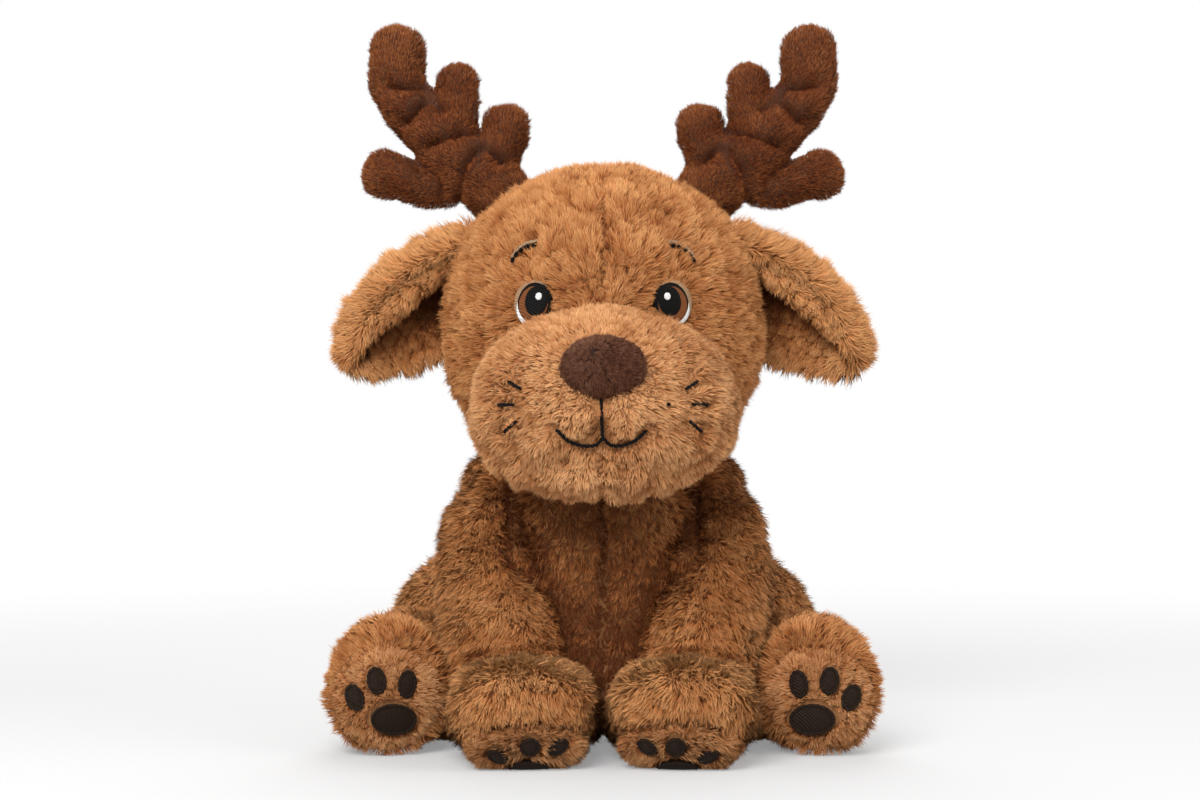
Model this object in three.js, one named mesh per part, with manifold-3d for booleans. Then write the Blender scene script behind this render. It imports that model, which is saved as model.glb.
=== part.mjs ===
// A sitting plush deer: millimetres, +Z up, face towards -Y, its own left side towards +X.
// The origin is on the floor under the middle of the seat.
// Each section of the toy is a bag of plush fabric round a wad of filling, cut where it is sewn to the next.
import * as THREE from "three";
import { mergeVertices } from "three/addons/utils/BufferGeometryUtils.js";
import Module from "manifold-3d";

const wasm = await Module();
wasm.setup();

// Fabric, seams and cuts
const plushWall = 5; // plush fabric with its backing and the foot of its pile
const antlerWall = 3.5; // the short-haired fabric of the antlers
const fillingGap = 0.4; // from the inside of a skin to its filling
const seamGap = 0.3; // between two pieces that are sewn together
const floorTrim = 0.5; // how far a stuffed form flattens where it rests
const cutOverrun = 260; // how far a cutting body reaches past what it cuts

// Torso
const torsoWidth = 134;
const torsoDepth = 126;
const torsoHeight = 146;
const torsoBack = 13; // how far the middle of the torso lies behind the origin
const pelletBagWidth = 74;
const pelletBagDepth = 66;
const pelletBagHeight = 26;
const pelletBagLift = 6.5; // the bag lies this far above the floor, in the underside of the filling

// Neck
const neckRadius = 38;
const neckSink = 16; // from the top of the torso down to the middle of the neck wad
const neckBack = 8;
const nodRoom = 7; // space under the head that lets it nod

// Head
const headWidth = 167;
const headDepth = 148;
const headHeight = 152;
const headSink = 16.5; // how deep the neck wad sits in the head

// Muzzle and nose
const muzzleWidth = 133;
const muzzleDepth = 114;
const muzzleHeight = 97;
const muzzleDrop = 20.5; // the chin hangs this far below the head
const muzzleSetOut = 4; // from the front of the head forward to the middle of the muzzle
const noseWidth = 41;
const noseHeight = 31;
const noseDepth = 22;

// Eyes
const eyeWidth = 21;
const eyeHeight = 24;
const eyeDepth = 5;

// Ears
const earLength = 92;
const earBackFlap = 57; // from the fold to the edge of the back half, along the fabric
const earFrontFlap = 28; // from the fold to the edge of the front half, along the fabric
const earFoldRadius = 10;
const earArch = 13; // how far the fold bows up between the head and the tip
const earPanel = 6; // thickness of one plush panel with its pile

// Antlers
const antlerHeight = 95; // from the seam in the head up to the tip of the top tine
const antlerReach = 76; // from the seam outwards to the tip of the side tine
const antlerRadius = 18; // half width of the beam
const antlerThickness = 28;
const antlerSeamLift = 5; // the line that the antler bends on, above the skin of the head

// Front legs
const shoulderOut = 54; // from the middle of the toy to the middle of a front leg
const shoulderHeight = 134;
const shoulderFlatOut = 50; // the flat that each front leg is sewn to, from the middle of the toy
const frontLegReach = 50; // how far the wrist stands in front of the shoulder
const frontLegRadius = 32.5;
const wristHeight = 33; // the sleeve of a front leg ends this high, inside the top of the paw
const pawWidth = 76;
const pawHeight = 55;
const pawLength = 106;
const pawOut = 40.2;
const pawForward = 65;
const pawSoleWidth = 58;
const pawSoleHeight = 32;
const pawSoleDepth = 12;

// Hind legs
const thighRadius = 38;
const thighHeight = 97;
const hipOut = 77;
const hipBack = 26;
const hipOpeningRadius = 15;
const footWidth = 62;
const footHeight = 71;
const footOut = 110;
const footForward = 57;
const soleWidth = 54;
const soleHeight = 52;
const soleDepth = 16;

// Embroidered pads
const padDepth = 4;
const footPadWidth = 25;
const footPadHeight = 18;
const footToeWidth = 9;
const footToeHeight = 14;
const pawPadWidth = 24;
const pawPadHeight = 13;
const pawToeWidth = 9.5;
const pawToeHeight = 12;

// Tail
const tailRadius = 13;
const tailLength = 30;
const tailHeight = 48;
const tailSeamLift = 5; // the point that the tail wags on, off the skin of the torso

// Squareness of the sections: 2 is an ellipse
const torsoPower = 2.3;
const headPower = 2.1;
const muzzlePower = 2.2;
const pawPower = 2.4;

// Fineness of the faceted forms
const fineSides = 18;
const fineRings = 10;
const coarseSides = 9;
const coarseRings = 6;
const limbSides = 12;
const limbRings = 8;
const tineSides = 8;
const tineRings = 8;
const coreSides = 6;
const coreRings = 8;
const lensSides = 16;
const lensRings = 6;
const padSides = 10;
const padRings = 4;
const earRings = 7; // from the head to the tip
const earSides = 8; // from the back edge to the front edge

// Outlines. A row of a stuffed form has its width, its depth, the shift of its middle along the depth
// and its height. A stop of a limb has its place across, along and up, and its thickness.
const torsoShares = [
  [0, 0, 0, 0],
  [0.68, 0.66, 0.02, 0],
  [0.9, 0.9, 0.02, 0.06],
  [1, 1, 0.01, 0.24],
  [1, 0.99, 0, 0.42],
  [0.95, 0.94, -0.02, 0.6],
  [0.9, 0.88, -0.04, 0.76],
  [0.82, 0.8, -0.04, 0.88],
  [0.6, 0.6, -0.03, 0.97],
  [0, 0, -0.03, 1],
];
const pelletBagShares = [
  [0, 0, 0, 0],
  [0.76, 0.76, 0, 0],
  [0.95, 0.95, 0, 0.2],
  [1, 1, 0, 0.42],
  [0.92, 0.92, 0, 0.7],
  [0.6, 0.6, 0, 0.94],
  [0, 0, 0, 1],
];
const headShares = [
  [0, 0, 0.03, 0],
  [0.4, 0.4, 0.03, 0.012],
  [0.68, 0.66, 0.02, 0.06],
  [0.86, 0.83, 0.01, 0.14],
  [0.95, 0.93, 0, 0.24],
  [1, 0.99, 0, 0.38],
  [0.995, 1, 0, 0.51],
  [0.94, 0.97, 0, 0.66],
  [0.8, 0.86, 0, 0.8],
  [0.53, 0.62, 0, 0.92],
  [0.28, 0.34, 0, 0.98],
  [0, 0, 0, 1],
];
const muzzleShares = [
  [0, 0, -0.19, 0],
  [0.36, 0.22, -0.19, 0.02],
  [0.64, 0.4, -0.18, 0.085],
  [0.84, 0.62, -0.1, 0.18],
  [0.965, 0.88, -0.036, 0.31],
  [1, 1, 0, 0.46],
  [0.965, 0.965, 0.018, 0.61],
  [0.84, 0.82, 0.055, 0.765],
  [0.64, 0.6, 0.08, 0.87],
  [0.38, 0.35, 0.1, 0.955],
  [0, 0, 0.1, 1],
];
const pawShares = [
  [0, 0, -0.02, 0],
  [0.5, 0.56, -0.02, 0.03],
  [0.8, 0.86, -0.01, 0.12],
  [0.95, 0.99, 0, 0.3],
  [1, 1.01, 0, 0.52],
  [0.97, 0.96, -0.01, 0.72],
  [0.84, 0.8, -0.04, 0.88],
  [0.55, 0.5, -0.08, 0.97],
  [0, 0, -0.1, 1],
];
const sleeveShares = [
  [0.926, -0.04, 1, 0.77],
  [0.963, 0.06, 0.88, 0.95],
  [1, 0.28, 0.716, 1],
  [0.981, 0.56, 0.552, 1],
  [0.907, 0.84, 0.388, 0.985],
  [0.852, 1, 0.24, 0.93],
];
const thighShares = [
  [0, 0],
  [0.8, 0],
  [0.97, 0.16],
  [1, 0.42],
  [0.93, 0.66],
  [0.72, 0.85],
  [0.38, 0.97],
  [0, 1],
];
const footShares = [
  [0.22, 0.2, 0.53, 0.8],
  [0.66, 0.5, 0.51, 0.92],
  [0.94, 0.74, 0.485, 0.98],
  [1, 0.94, 0.475, 1],
];
const tailShares = [
  [0, 0, 0, 1],
  [0, 0.45, 0.3, 0.95],
  [0, 0.62, 0.78, 0.6],
];
const beamShares = [
  [-0.2, 0, -0.26, 0.95],
  [0, 0, 0, 0.97],
  [0.24, 0, 0.19, 1.06],
  [0.49, 0, 0.39, 1.03],
  [0.7, 0, 0.59, 0.88],
  [0.72, 0, 0.82, 0.82],
];
const innerTineShares = [
  [0.14, 0, 0.12, 0.68],
  [0.02, 0, 0.22, 0.7],
  [-0.045, 0, 0.4, 0.68],
];
const middleTineShares = [
  [0.36, 0, 0.3, 0.68],
  [0.32, 0, 0.46, 0.68],
  [0.3, 0, 0.63, 0.64],
];
const sideTineShares = [
  [0.3, 0, 0.06, 0.7],
  [0.56, 0, 0.075, 0.72],
  [0.83, 0, 0.125, 0.68],
];
const earWidthShares = [
  [0, 0.5],
  [0.12, 0.74],
  [0.3, 0.94],
  [0.5, 1],
  [0.68, 1],
  [0.84, 0.82],
  [0.94, 0.56],
  [1, 0.28],
];
const headRoomShares = [
  [0, 0],
  [0.5, 0],
  [0.75, 0.04],
  [0.95, 0.14],
  [1.1, 0.36],
];

const X = new THREE.Vector3(1, 0, 0);
const Y = new THREE.Vector3(0, 1, 0);
const Z = new THREE.Vector3(0, 0, 1);
const vec = (x, y, z) => new THREE.Vector3(x, y, z);
const opposite = (v) => v.clone().negate();
const moved = (point, way, distance) => point.clone().addScaledVector(way, distance);

// Solids and cuts

// The same faces, turned so that they all look out of the form.
function outward(geometry) {
  const p = geometry.getAttribute("position");
  const index = geometry.index.array;
  const [a, b, c] = [vec(0, 0, 0), vec(0, 0, 0), vec(0, 0, 0)];
  let volume = 0;
  for (let i = 0; i < index.length; i += 3) {
    a.fromBufferAttribute(p, index[i]);
    b.fromBufferAttribute(p, index[i + 1]);
    c.fromBufferAttribute(p, index[i + 2]);
    volume += a.dot(b.cross(c));
  }
  if (volume < 0) {
    for (let i = 0; i < index.length; i += 3) {
      [index[i + 1], index[i + 2]] = [index[i + 2], index[i + 1]];
    }
  }
  return geometry;
}

function closed(geometry) {
  const bare = geometry.clone();
  bare.deleteAttribute("normal");
  bare.deleteAttribute("uv");
  return outward(mergeVertices(bare));
}

function solid(geometry) {
  const g = closed(geometry);
  return new wasm.Manifold(
    new wasm.Mesh({
      numProp: 3,
      vertProperties: g.getAttribute("position").array,
      triVerts: new Uint32Array(g.index.array),
    }),
  );
}

function geometryOf(body) {
  const mesh = body.getMesh();
  const geometry = new THREE.BufferGeometry();
  geometry.setAttribute("position", new THREE.BufferAttribute(mesh.vertProperties, mesh.numProp));
  geometry.setIndex(new THREE.BufferAttribute(mesh.triVerts, 1));
  geometry.computeVertexNormals();
  return geometry;
}

const less = (body, ...cutters) => cutters.reduce((kept, cutter) => kept.subtract(cutter), body);
const joined = (...bodies) => bodies.reduce((whole, body) => whole.add(body));
const mirrored = (body) => solid(outward(geometryOf(body).scale(-1, 1, 1)));

// The same closed form with every vertex moved along its normal: outwards if distance is positive.
function offset(geometry, distance) {
  const g = closed(geometry);
  g.computeVertexNormals();
  const p = g.getAttribute("position");
  const n = g.getAttribute("normal");
  for (let i = 0; i < p.count; i++) {
    const at = vec(0, 0, 0).fromBufferAttribute(p, i);
    at.addScaledVector(vec(0, 0, 0).fromBufferAttribute(n, i), distance);
    p.setXYZ(i, at.x, at.y, at.z);
  }
  return g;
}

// A half space as a large block, whose face passes through point and looks back against normal.
function blockBeyond(point, normal) {
  const block = new THREE.BoxGeometry(2 * cutOverrun, 2 * cutOverrun, cutOverrun);
  block.translate(0, 0, cutOverrun / 2);
  block.applyQuaternion(new THREE.Quaternion().setFromUnitVectors(Z, normal.clone().normalize()));
  return solid(block.translate(point.x, point.y, point.z));
}

// How much a faceted round body grows so that its flats clear the corners of an equal one that turns.
const facetShare = (sides) => 1 / Math.cos(Math.PI / sides);

// Forms

// A closed skin through ringPoint(around, along): both run from 0 to 1, along from pole to pole.
function ringSkin(ringPoint, sides, rings) {
  const points = [ringPoint(0, 0)];
  for (let r = 1; r < rings; r++) {
    for (let s = 0; s < sides; s++) {
      points.push(ringPoint(s / sides, r / rings));
    }
  }
  points.push(ringPoint(0, 1));
  const last = points.length - 1;
  const at = (r, s) => 1 + (r - 1) * sides + (s % sides);
  const faces = [];
  for (let s = 0; s < sides; s++) {
    faces.push(0, at(1, s), at(1, s + 1));
    for (let r = 1; r < rings - 1; r++) {
      faces.push(at(r, s), at(r + 1, s), at(r + 1, s + 1));
      faces.push(at(r, s), at(r + 1, s + 1), at(r, s + 1));
    }
    faces.push(last, at(rings - 1, s + 1), at(rings - 1, s));
  }
  const geometry = new THREE.BufferGeometry().setFromPoints(points);
  geometry.setIndex(faces);
  return outward(geometry);
}

const squared = (value, power) => Math.sign(value) * Math.abs(value) ** (2 / power);

// A stuffed form on an upright axis, from the rows of its outline.
function stuffedForm({ width, depth, height, base, middle, power, rowShares }) {
  const outline = new THREE.CatmullRomCurve3(rowShares.map(([w, d, m, h]) => vec(w, d, h)));
  const shift = new THREE.CatmullRomCurve3(rowShares.map(([w, d, m, h]) => vec(m, w, h)));
  const section = (along) => {
    const o = outline.getPoint(along);
    return {
      halfWidth: (Math.max(o.x, 0) * width) / 2,
      halfDepth: (Math.max(o.y, 0) * depth) / 2,
      y: middle + shift.getPoint(along).x * depth,
      z: base + o.z * height,
    };
  };
  const ringPoint = (around, along) => {
    const s = section(along);
    const turn = 2 * Math.PI * around;
    return vec(
      s.halfWidth * squared(Math.cos(turn), power),
      s.y + s.halfDepth * squared(Math.sin(turn), power),
      s.z,
    );
  };
  // The front of the form at a share of its height and of its half width.
  const frontPoint = (heightShare, widthShare) => {
    let [low, high] = [0, 1];
    while (high - low > Number.EPSILON * rowShares.length) {
      const between = (low + high) / 2;
      if (outline.getPoint(between).z < heightShare) low = between;
      else high = between;
    }
    const s = section(low);
    const x = (widthShare * width) / 2;
    const inside = Math.max(0, 1 - Math.abs(x / s.halfWidth) ** power);
    return vec(x, s.y - s.halfDepth * inside ** (1 / power), s.z);
  };
  const front = (heightShare, widthShare) => {
    const stepShare = 0.01;
    const point = frontPoint(heightShare, widthShare);
    const across = frontPoint(heightShare, widthShare + stepShare).sub(point);
    const up = frontPoint(heightShare + stepShare, widthShare).sub(point);
    return { point, normal: across.cross(up).normalize() };
  };
  return {
    fine: ringSkin(ringPoint, fineSides, fineRings),
    coarse: ringSkin(ringPoint, coarseSides, coarseRings),
    front,
  };
}

// A stuffed limb with round ends, along a smooth curve through its stops.
function stuffedLimb({ start, across, along, up, wide, thick, stopShares, endBulgeShare = 1 }) {
  const spine = new THREE.CatmullRomCurve3(
    stopShares.map(([a, b, c]) => start.clone().add(vec(a * across, b * along, c * up))),
  );
  const girth = new THREE.CatmullRomCurve3(stopShares.map((stop, i) => vec(stop[3], i, 0)));
  const capShare = 0.25; // of the rings, for each round end
  const ringPoint = (around, along) => {
    const bodyShare = THREE.MathUtils.clamp((along - capShare) / (1 - 2 * capShare), 0, 1);
    const intoCap = Math.max(0, capShare - along, along - 1 + capShare) / capShare;
    const capTurn = (intoCap * Math.PI) / 2;
    const size = girth.getPoint(bodyShare).x;
    const tangent = spine.getTangent(bodyShare);
    const bulge = along < capShare ? -1 : endBulgeShare;
    const centre = moved(spine.getPoint(bodyShare), tangent, bulge * size * thick * Math.sin(capTurn));
    const thickWay = tangent.clone().cross(X).normalize();
    const wideWay = thickWay.clone().cross(tangent).normalize();
    const turn = 2 * Math.PI * around;
    const ring = size * Math.cos(capTurn);
    return centre
      .addScaledVector(wideWay, wide * ring * Math.cos(turn))
      .addScaledVector(thickWay, thick * ring * Math.sin(turn));
  };
  return {
    fine: ringSkin(ringPoint, limbSides, limbRings),
    coarse: ringSkin(ringPoint, tineSides, tineRings),
    core: ringSkin(ringPoint, coreSides, coreRings),
  };
}

// A section's outside, the inside of its skin, the surface of its filling, and its outside with a seam's gap.
function layersOf(form, wall) {
  return {
    outside: solid(form.fine),
    lining: solid(offset(form.coarse, -wall)),
    core: solid(offset(form.coarse, -wall - fillingGap)),
    clear: solid(offset(form.fine, seamGap)),
  };
}

function ballAt(centre, radius) {
  const ball = new THREE.SphereGeometry(radius, fineSides, fineSides / 2).rotateX(Math.PI / 2);
  return solid(ball.translate(centre.x, centre.y, centre.z));
}

// The ways across and up on a face that looks along normal.
function facing(normal) {
  const look = normal.clone().normalize();
  const up = moved(Z, look, -look.z).normalize();
  return { look, up, across: up.clone().cross(look) };
}

// A flattened ball: wide across, tall up and thin along normal.
function lens(point, normal, { width, height, depth, sides = lensSides, rings = lensRings, tilt = 0 }) {
  const ball = new THREE.SphereGeometry(1, sides, rings).rotateX(Math.PI / 2);
  ball.scale(width / 2, height / 2, depth / 2).rotateZ(tilt);
  const face = facing(normal);
  ball.applyMatrix4(new THREE.Matrix4().makeBasis(face.across, face.up, face.look));
  return ball.translate(point.x, point.y, point.z);
}

// Materials

const fabric = (color, roughness) => new THREE.MeshStandardMaterial({ color, roughness, metalness: 0 });
const bodyPlush = fabric(0xb5763f, 0.95);
const facePlush = fabric(0xc98f5c, 0.95);
const antlerPlush = fabric(0x6b3c22, 0.9);
const nosePlush = fabric(0x3b2218, 0.9);
const padStitch = fabric(0x2b211c, 0.7);
const eyeStitch = fabric(0x14120f, 0.55);
const filling = fabric(0xf2efe8, 1);
const pelletCloth = fabric(0xd9d4c8, 1);

const deer = new THREE.Group();

function place(name, body, material) {
  const mesh = new THREE.Mesh(geometryOf(body), material);
  mesh.name = name;
  deer.add(mesh);
}

// A piece of the deer's left side, and its mirror image on the right.
function placePair(stem, part, body, material) {
  place(`${stem}_left_${part}`, body, material);
  place(`${stem}_right_${part}`, mirrored(body), material);
}

const belowFloor = blockBeyond(vec(0, 0, 0), opposite(Z));

// The forms and their places

const torso = stuffedForm({
  width: torsoWidth,
  depth: torsoDepth,
  height: torsoHeight + floorTrim,
  base: -floorTrim,
  middle: torsoBack,
  power: torsoPower,
  rowShares: torsoShares,
});
const torsoLayers = layersOf(torso, plushWall);

const neckCentre = vec(0, neckBack, torsoHeight - neckSink);
const neckSeat = ballAt(neckCentre, neckRadius * facetShare(fineSides) + seamGap);

const headBase = neckCentre.z + neckRadius - headSink;
const head = stuffedForm({
  width: headWidth,
  depth: headDepth,
  height: headHeight,
  base: headBase,
  middle: 0,
  power: headPower,
  rowShares: headShares,
});
const headLayers = layersOf(head, plushWall);

const muzzle = stuffedForm({
  width: muzzleWidth,
  depth: muzzleDepth,
  height: muzzleHeight,
  base: headBase - muzzleDrop,
  middle: -headDepth / 2 - muzzleSetOut,
  power: muzzlePower,
  rowShares: muzzleShares,
});
const muzzleLayers = layersOf(muzzle, plushWall);

const sleeve = stuffedLimb({
  start: vec(0, 0, 0),
  across: shoulderOut,
  along: -frontLegReach,
  up: shoulderHeight,
  wide: frontLegRadius,
  thick: frontLegRadius,
  stopShares: sleeveShares,
});
const sleeveLayers = layersOf(sleeve, plushWall);

// The paw's axis lies along Y, so its form is made upright and laid down towards the front.
const uprightPaw = stuffedForm({
  width: pawWidth,
  depth: pawHeight + 2 * floorTrim,
  height: pawLength,
  base: 0,
  middle: -pawHeight / 2,
  power: pawPower,
  rowShares: pawShares,
});
const layDown = (form) =>
  outward(form.rotateX(Math.PI / 2).scale(1, 1, -1).translate(pawOut, pawLength / 2 - pawForward, 0));
const paw = { fine: layDown(uprightPaw.fine), coarse: layDown(uprightPaw.coarse) };
const pawLayers = layersOf(paw, plushWall);

function thighBody(grown, sides) {
  const radius = thighRadius + grown;
  const height = thighHeight + floorTrim + 2 * grown;
  const outline = new THREE.CatmullRomCurve3(
    thighShares.map(([r, h]) => vec(r * radius, h * height - floorTrim - grown, 0)),
  );
  const profile = outline.getPoints(limbRings).map((p) => new THREE.Vector2(Math.max(p.x, 0), p.y));
  profile[0].x = 0;
  profile[limbRings].x = 0;
  const turned = new THREE.LatheGeometry(profile, sides).rotateX(Math.PI / 2);
  return solid(turned.translate(hipOut, hipBack, 0));
}
const thighOutside = thighBody(0, fineSides);
const thighClear = thighBody(thighRadius * (facetShare(fineSides) - 1) + seamGap, fineSides);

const foot = stuffedLimb({
  start: vec(hipOut, hipBack, 0),
  across: footOut - hipOut,
  along: -footForward - hipBack,
  up: footHeight,
  wide: footWidth / 2,
  thick: footHeight / 2,
  stopShares: footShares,
  endBulgeShare: 0.36,
});
const footLayers = layersOf(foot, plushWall);

// The flat on each side of the torso where a front leg is sewn on. It slants down along the leg's back.
const legBackShare = 1.12; // of the leg's radius, from the shoulder back to the end of the flat
const legBackWay = vec(0, -0.92, 0.39).normalize();
const legBack = vec(0, frontLegRadius * legBackShare, shoulderHeight);
const shoulderRoomFrom = (gap) =>
  blockBeyond(vec(shoulderFlatOut + gap, 0, 0), X).intersect(
    blockBeyond(moved(legBack, legBackWay, gap), legBackWay),
  );
const shoulderRoom = shoulderRoomFrom(0);
const torsoBeside = less(torsoLayers.clear, shoulderRoomFrom(seamGap));
const legFrontShare = 0.6; // of the leg's radius, from the shoulder forward to the start of the flat
const insideShoulders = blockBeyond(vec(shoulderFlatOut + seamGap, 0, 0), opposite(X)).intersect(
  blockBeyond(vec(0, -frontLegRadius * legFrontShare, 0), Y),
);

const tailSurface = 2 * torsoBack - torso.front(tailHeight / torsoHeight, 0).point.y;
const tailRoot = vec(0, tailSurface + tailSeamLift, tailHeight);
const tailSeat = ballAt(tailRoot, tailRadius * facetShare(limbSides) + seamGap);

// Torso

const pelletBag = stuffedForm({
  width: pelletBagWidth,
  depth: pelletBagDepth,
  height: pelletBagHeight,
  base: pelletBagLift,
  middle: torsoBack,
  power: pawPower,
  rowShares: pelletBagShares,
});

function buildTorso() {
  const cuts = [neckSeat, tailSeat, belowFloor];
  for (const cut of [shoulderRoom, thighClear]) cuts.push(cut, mirrored(cut));
  const bagSpace = offset(pelletBag.coarse, seamGap);
  const bagRoom = joined(solid(bagSpace), solid(bagSpace.clone().translate(0, 0, -pelletBagLift)));
  place("torso_skin", less(torsoLayers.outside, torsoLayers.lining, ...cuts), bodyPlush);
  place("torso_filling", less(torsoLayers.core, bagRoom, ...cuts), filling);
  place("pellet_bag", solid(pelletBag.coarse), pelletCloth);
  place("neck_filling", ballAt(neckCentre, neckRadius), filling);
}

// Antlers: a curved beam with three tines, which bends on the line of its seam.

const antlerSeamShares = { out: 0.62, up: 0.875 };
const seamSlope = THREE.MathUtils.degToRad(31.5);
const seamOut = vec(Math.cos(seamSlope), 0, -Math.sin(seamSlope));
const seamUp = vec(Math.sin(seamSlope), 0, Math.cos(seamSlope));
const antlerRoot = moved(
  vec((antlerSeamShares.out * headWidth) / 2, 0, headBase + antlerSeamShares.up * headHeight),
  seamUp,
  antlerSeamLift,
);
const antlerSeatReach = 2.3 * antlerRadius;

// The whole antler, or with a wall the space inside its skin.
function antlerBody(wall) {
  const tines = [beamShares, innerTineShares, middleTineShares, sideTineShares].map(
    (stopShares) =>
      stuffedLimb({
        start: antlerRoot,
        across: antlerReach,
        along: 0,
        up: antlerHeight,
        wide: antlerRadius,
        thick: antlerThickness / 2,
        stopShares,
      }),
  );
  return joined(...tines.map((tine) => solid(wall ? offset(tine.core, -wall) : tine.coarse)));
}

// A round bar on the line that the antler bends on: the antler's rounded foot, or its seat in the head.
function seamBar(radius, reach) {
  const bar = new THREE.CylinderGeometry(radius, radius, reach, fineSides);
  bar.rotateZ(Math.PI / 2).rotateY(seamSlope);
  return solid(bar.translate(antlerRoot.x, antlerRoot.y, antlerRoot.z));
}

function buildAntlers() {
  const foot = seamBar(antlerThickness / 2, antlerSeatReach - 2 * seamGap);
  const keep = joined(blockBeyond(antlerRoot, seamUp), foot);
  const trimmed = (body) => body.intersect(keep);
  const outside = trimmed(antlerBody(0));
  placePair("antler", "skin", less(outside, antlerBody(antlerWall)), antlerPlush);
  placePair("antler", "filling", trimmed(antlerBody(antlerWall + fillingGap)), filling);
}

// Head

function buildHead() {
  const antlerSeat = seamBar(antlerThickness / 2 + seamGap, antlerSeatReach);
  const cuts = [neckSeat, antlerSeat, mirrored(antlerSeat)];
  place("head_skin", less(headLayers.outside, headLayers.lining, ...cuts), bodyPlush);
  place("head_filling", less(headLayers.core, ...cuts), filling);
  place("muzzle_skin", less(muzzleLayers.outside, muzzleLayers.lining, headLayers.clear), facePlush);
  place("muzzle_filling", less(muzzleLayers.core, headLayers.clear), filling);

  const noseSeatShares = { height: 0.664, width: 0 };
  const noseSeat = muzzle.front(noseSeatShares.height, noseSeatShares.width);
  const noseSize = { width: noseWidth, height: noseHeight, depth: noseDepth };
  const nose = solid(lens(noseSeat.point, vec(0, -1, 0.12), noseSize));
  place("nose", less(nose, muzzleLayers.clear), nosePlush);

  // The eyes sit level with the top of the muzzle.
  const eyeSeatShares = { height: (muzzleHeight - muzzleDrop) / headHeight, width: 0.42 };
  const eyeSeat = head.front(eyeSeatShares.height, eyeSeatShares.width);
  const eyeSize = { width: eyeWidth, height: eyeHeight, depth: eyeDepth };
  const eye = solid(lens(eyeSeat.point, eyeSeat.normal, eyeSize));
  placePair("eye", "patch", less(eye, headLayers.clear, muzzleLayers.clear), eyeStitch);
}

// Ears: two plush panels sewn edge to edge, folded along the top so that the front half hangs over.

const earSeamShares = { out: 0.885, up: 0.753 };
const earRoot = vec((earSeamShares.out * headWidth) / 2, 0, headBase + earSeamShares.up * headHeight);
const earAlong = vec(0.72, -0.06, -0.69).normalize();
const earUp = vec(0.69, 0, 0.72).normalize();
const earForward = earAlong.clone().cross(earUp).normalize();
const earFlareShares = { front: 0.3, back: 0.2 };

const earWidthCurve = new THREE.CatmullRomCurve3(earWidthShares.map(([s, w]) => vec(s, w, 0)));

// The middle of the folded fabric: s runs from the head to the tip, t from the back edge, -1, to the front, 1.
function earSurface(s, t) {
  const size = earWidthCurve.getPoint(THREE.MathUtils.clamp(s, 0, 1)).y;
  const fold = earFoldRadius * size;
  const quarterFold = (fold * Math.PI) / 2;
  const run = t * size * (t > 0 ? earFrontFlap : earBackFlap);
  const turn = THREE.MathUtils.clamp(run / fold, -Math.PI / 2, Math.PI / 2);
  const hang = Math.max(0, Math.abs(run) - quarterFold);
  const flare = t > 0 ? earFlareShares.front : earFlareShares.back;
  const bow = earArch * Math.sin(Math.PI * THREE.MathUtils.clamp(s, 0, 1));
  const forward = fold * Math.sin(turn) + Math.sign(t) * hang * flare;
  const down = fold * (1 - Math.cos(turn)) + hang * Math.sqrt(1 - flare ** 2);
  return moved(earRoot, earAlong, s * earLength)
    .addScaledVector(earUp, bow - down)
    .addScaledVector(earForward, forward);
}

// One panel, as thick as its pile, on the outer side of the middle surface, 1, or on the inner side, -1.
function earPanelBody(side) {
  const insideHeadShare = 0.04;
  const nearShare = 0.02;
  const layer = (depthShare) => {
    const grid = [];
    for (let i = 0; i <= earRings; i++) {
      for (let j = 0; j <= earSides; j++) {
        const s = (1 + insideHeadShare) * (i / earRings) - insideHeadShare;
        const t = (2 * j) / earSides - 1;
        const a = earSurface(s + nearShare, t).sub(earSurface(s - nearShare, t));
        const b = earSurface(s, t + nearShare).sub(earSurface(s, t - nearShare));
        const rim = Math.sqrt(1 - Math.min(1, Math.abs(t)) ** 6);
        const tip = Math.sqrt(1 - Math.abs((2 * i) / earRings - 1) ** 8);
        const edgeShare = 0.15;
        const thick = earPanel * Math.max(edgeShare, Math.min(rim, tip));
        const out = side * (seamGap / 2 + depthShare * thick);
        grid.push(moved(earSurface(s, t), b.cross(a).normalize(), out));
      }
    }
    return grid;
  };
  const points = [...layer(0), ...layer(1)];
  const row = earSides + 1;
  const at = (i, j, top) => top * (earRings + 1) * row + i * row + j;
  const faces = [];
  const quad = (a, b, c, d) => faces.push(a, b, c, a, c, d);
  for (let i = 0; i < earRings; i++) {
    for (let j = 0; j < earSides; j++) {
      quad(at(i, j, 0), at(i, j + 1, 0), at(i + 1, j + 1, 0), at(i + 1, j, 0));
      quad(at(i, j, 1), at(i + 1, j, 1), at(i + 1, j + 1, 1), at(i, j + 1, 1));
    }
    quad(at(i, 0, 0), at(i + 1, 0, 0), at(i + 1, 0, 1), at(i, 0, 1));
    quad(at(i + 1, earSides, 0), at(i, earSides, 0), at(i, earSides, 1), at(i + 1, earSides, 1));
  }
  for (let j = 0; j < earSides; j++) {
    quad(at(0, j + 1, 0), at(0, j, 0), at(0, j, 1), at(0, j + 1, 1));
    quad(at(earRings, j, 0), at(earRings, j + 1, 0), at(earRings, j + 1, 1), at(earRings, j, 1));
  }
  const geometry = new THREE.BufferGeometry().setFromPoints(points);
  geometry.setIndex(faces);
  return solid(geometry);
}

function buildEars() {
  placePair("ear", "outer_panel", less(earPanelBody(1), headLayers.clear), bodyPlush);
  placePair("ear", "inner_panel", less(earPanelBody(-1), headLayers.clear), bodyPlush);
}

// Soles and pads: a sole is a shallow pillow over a flat cut, and its pads lie on the pillow.

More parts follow.
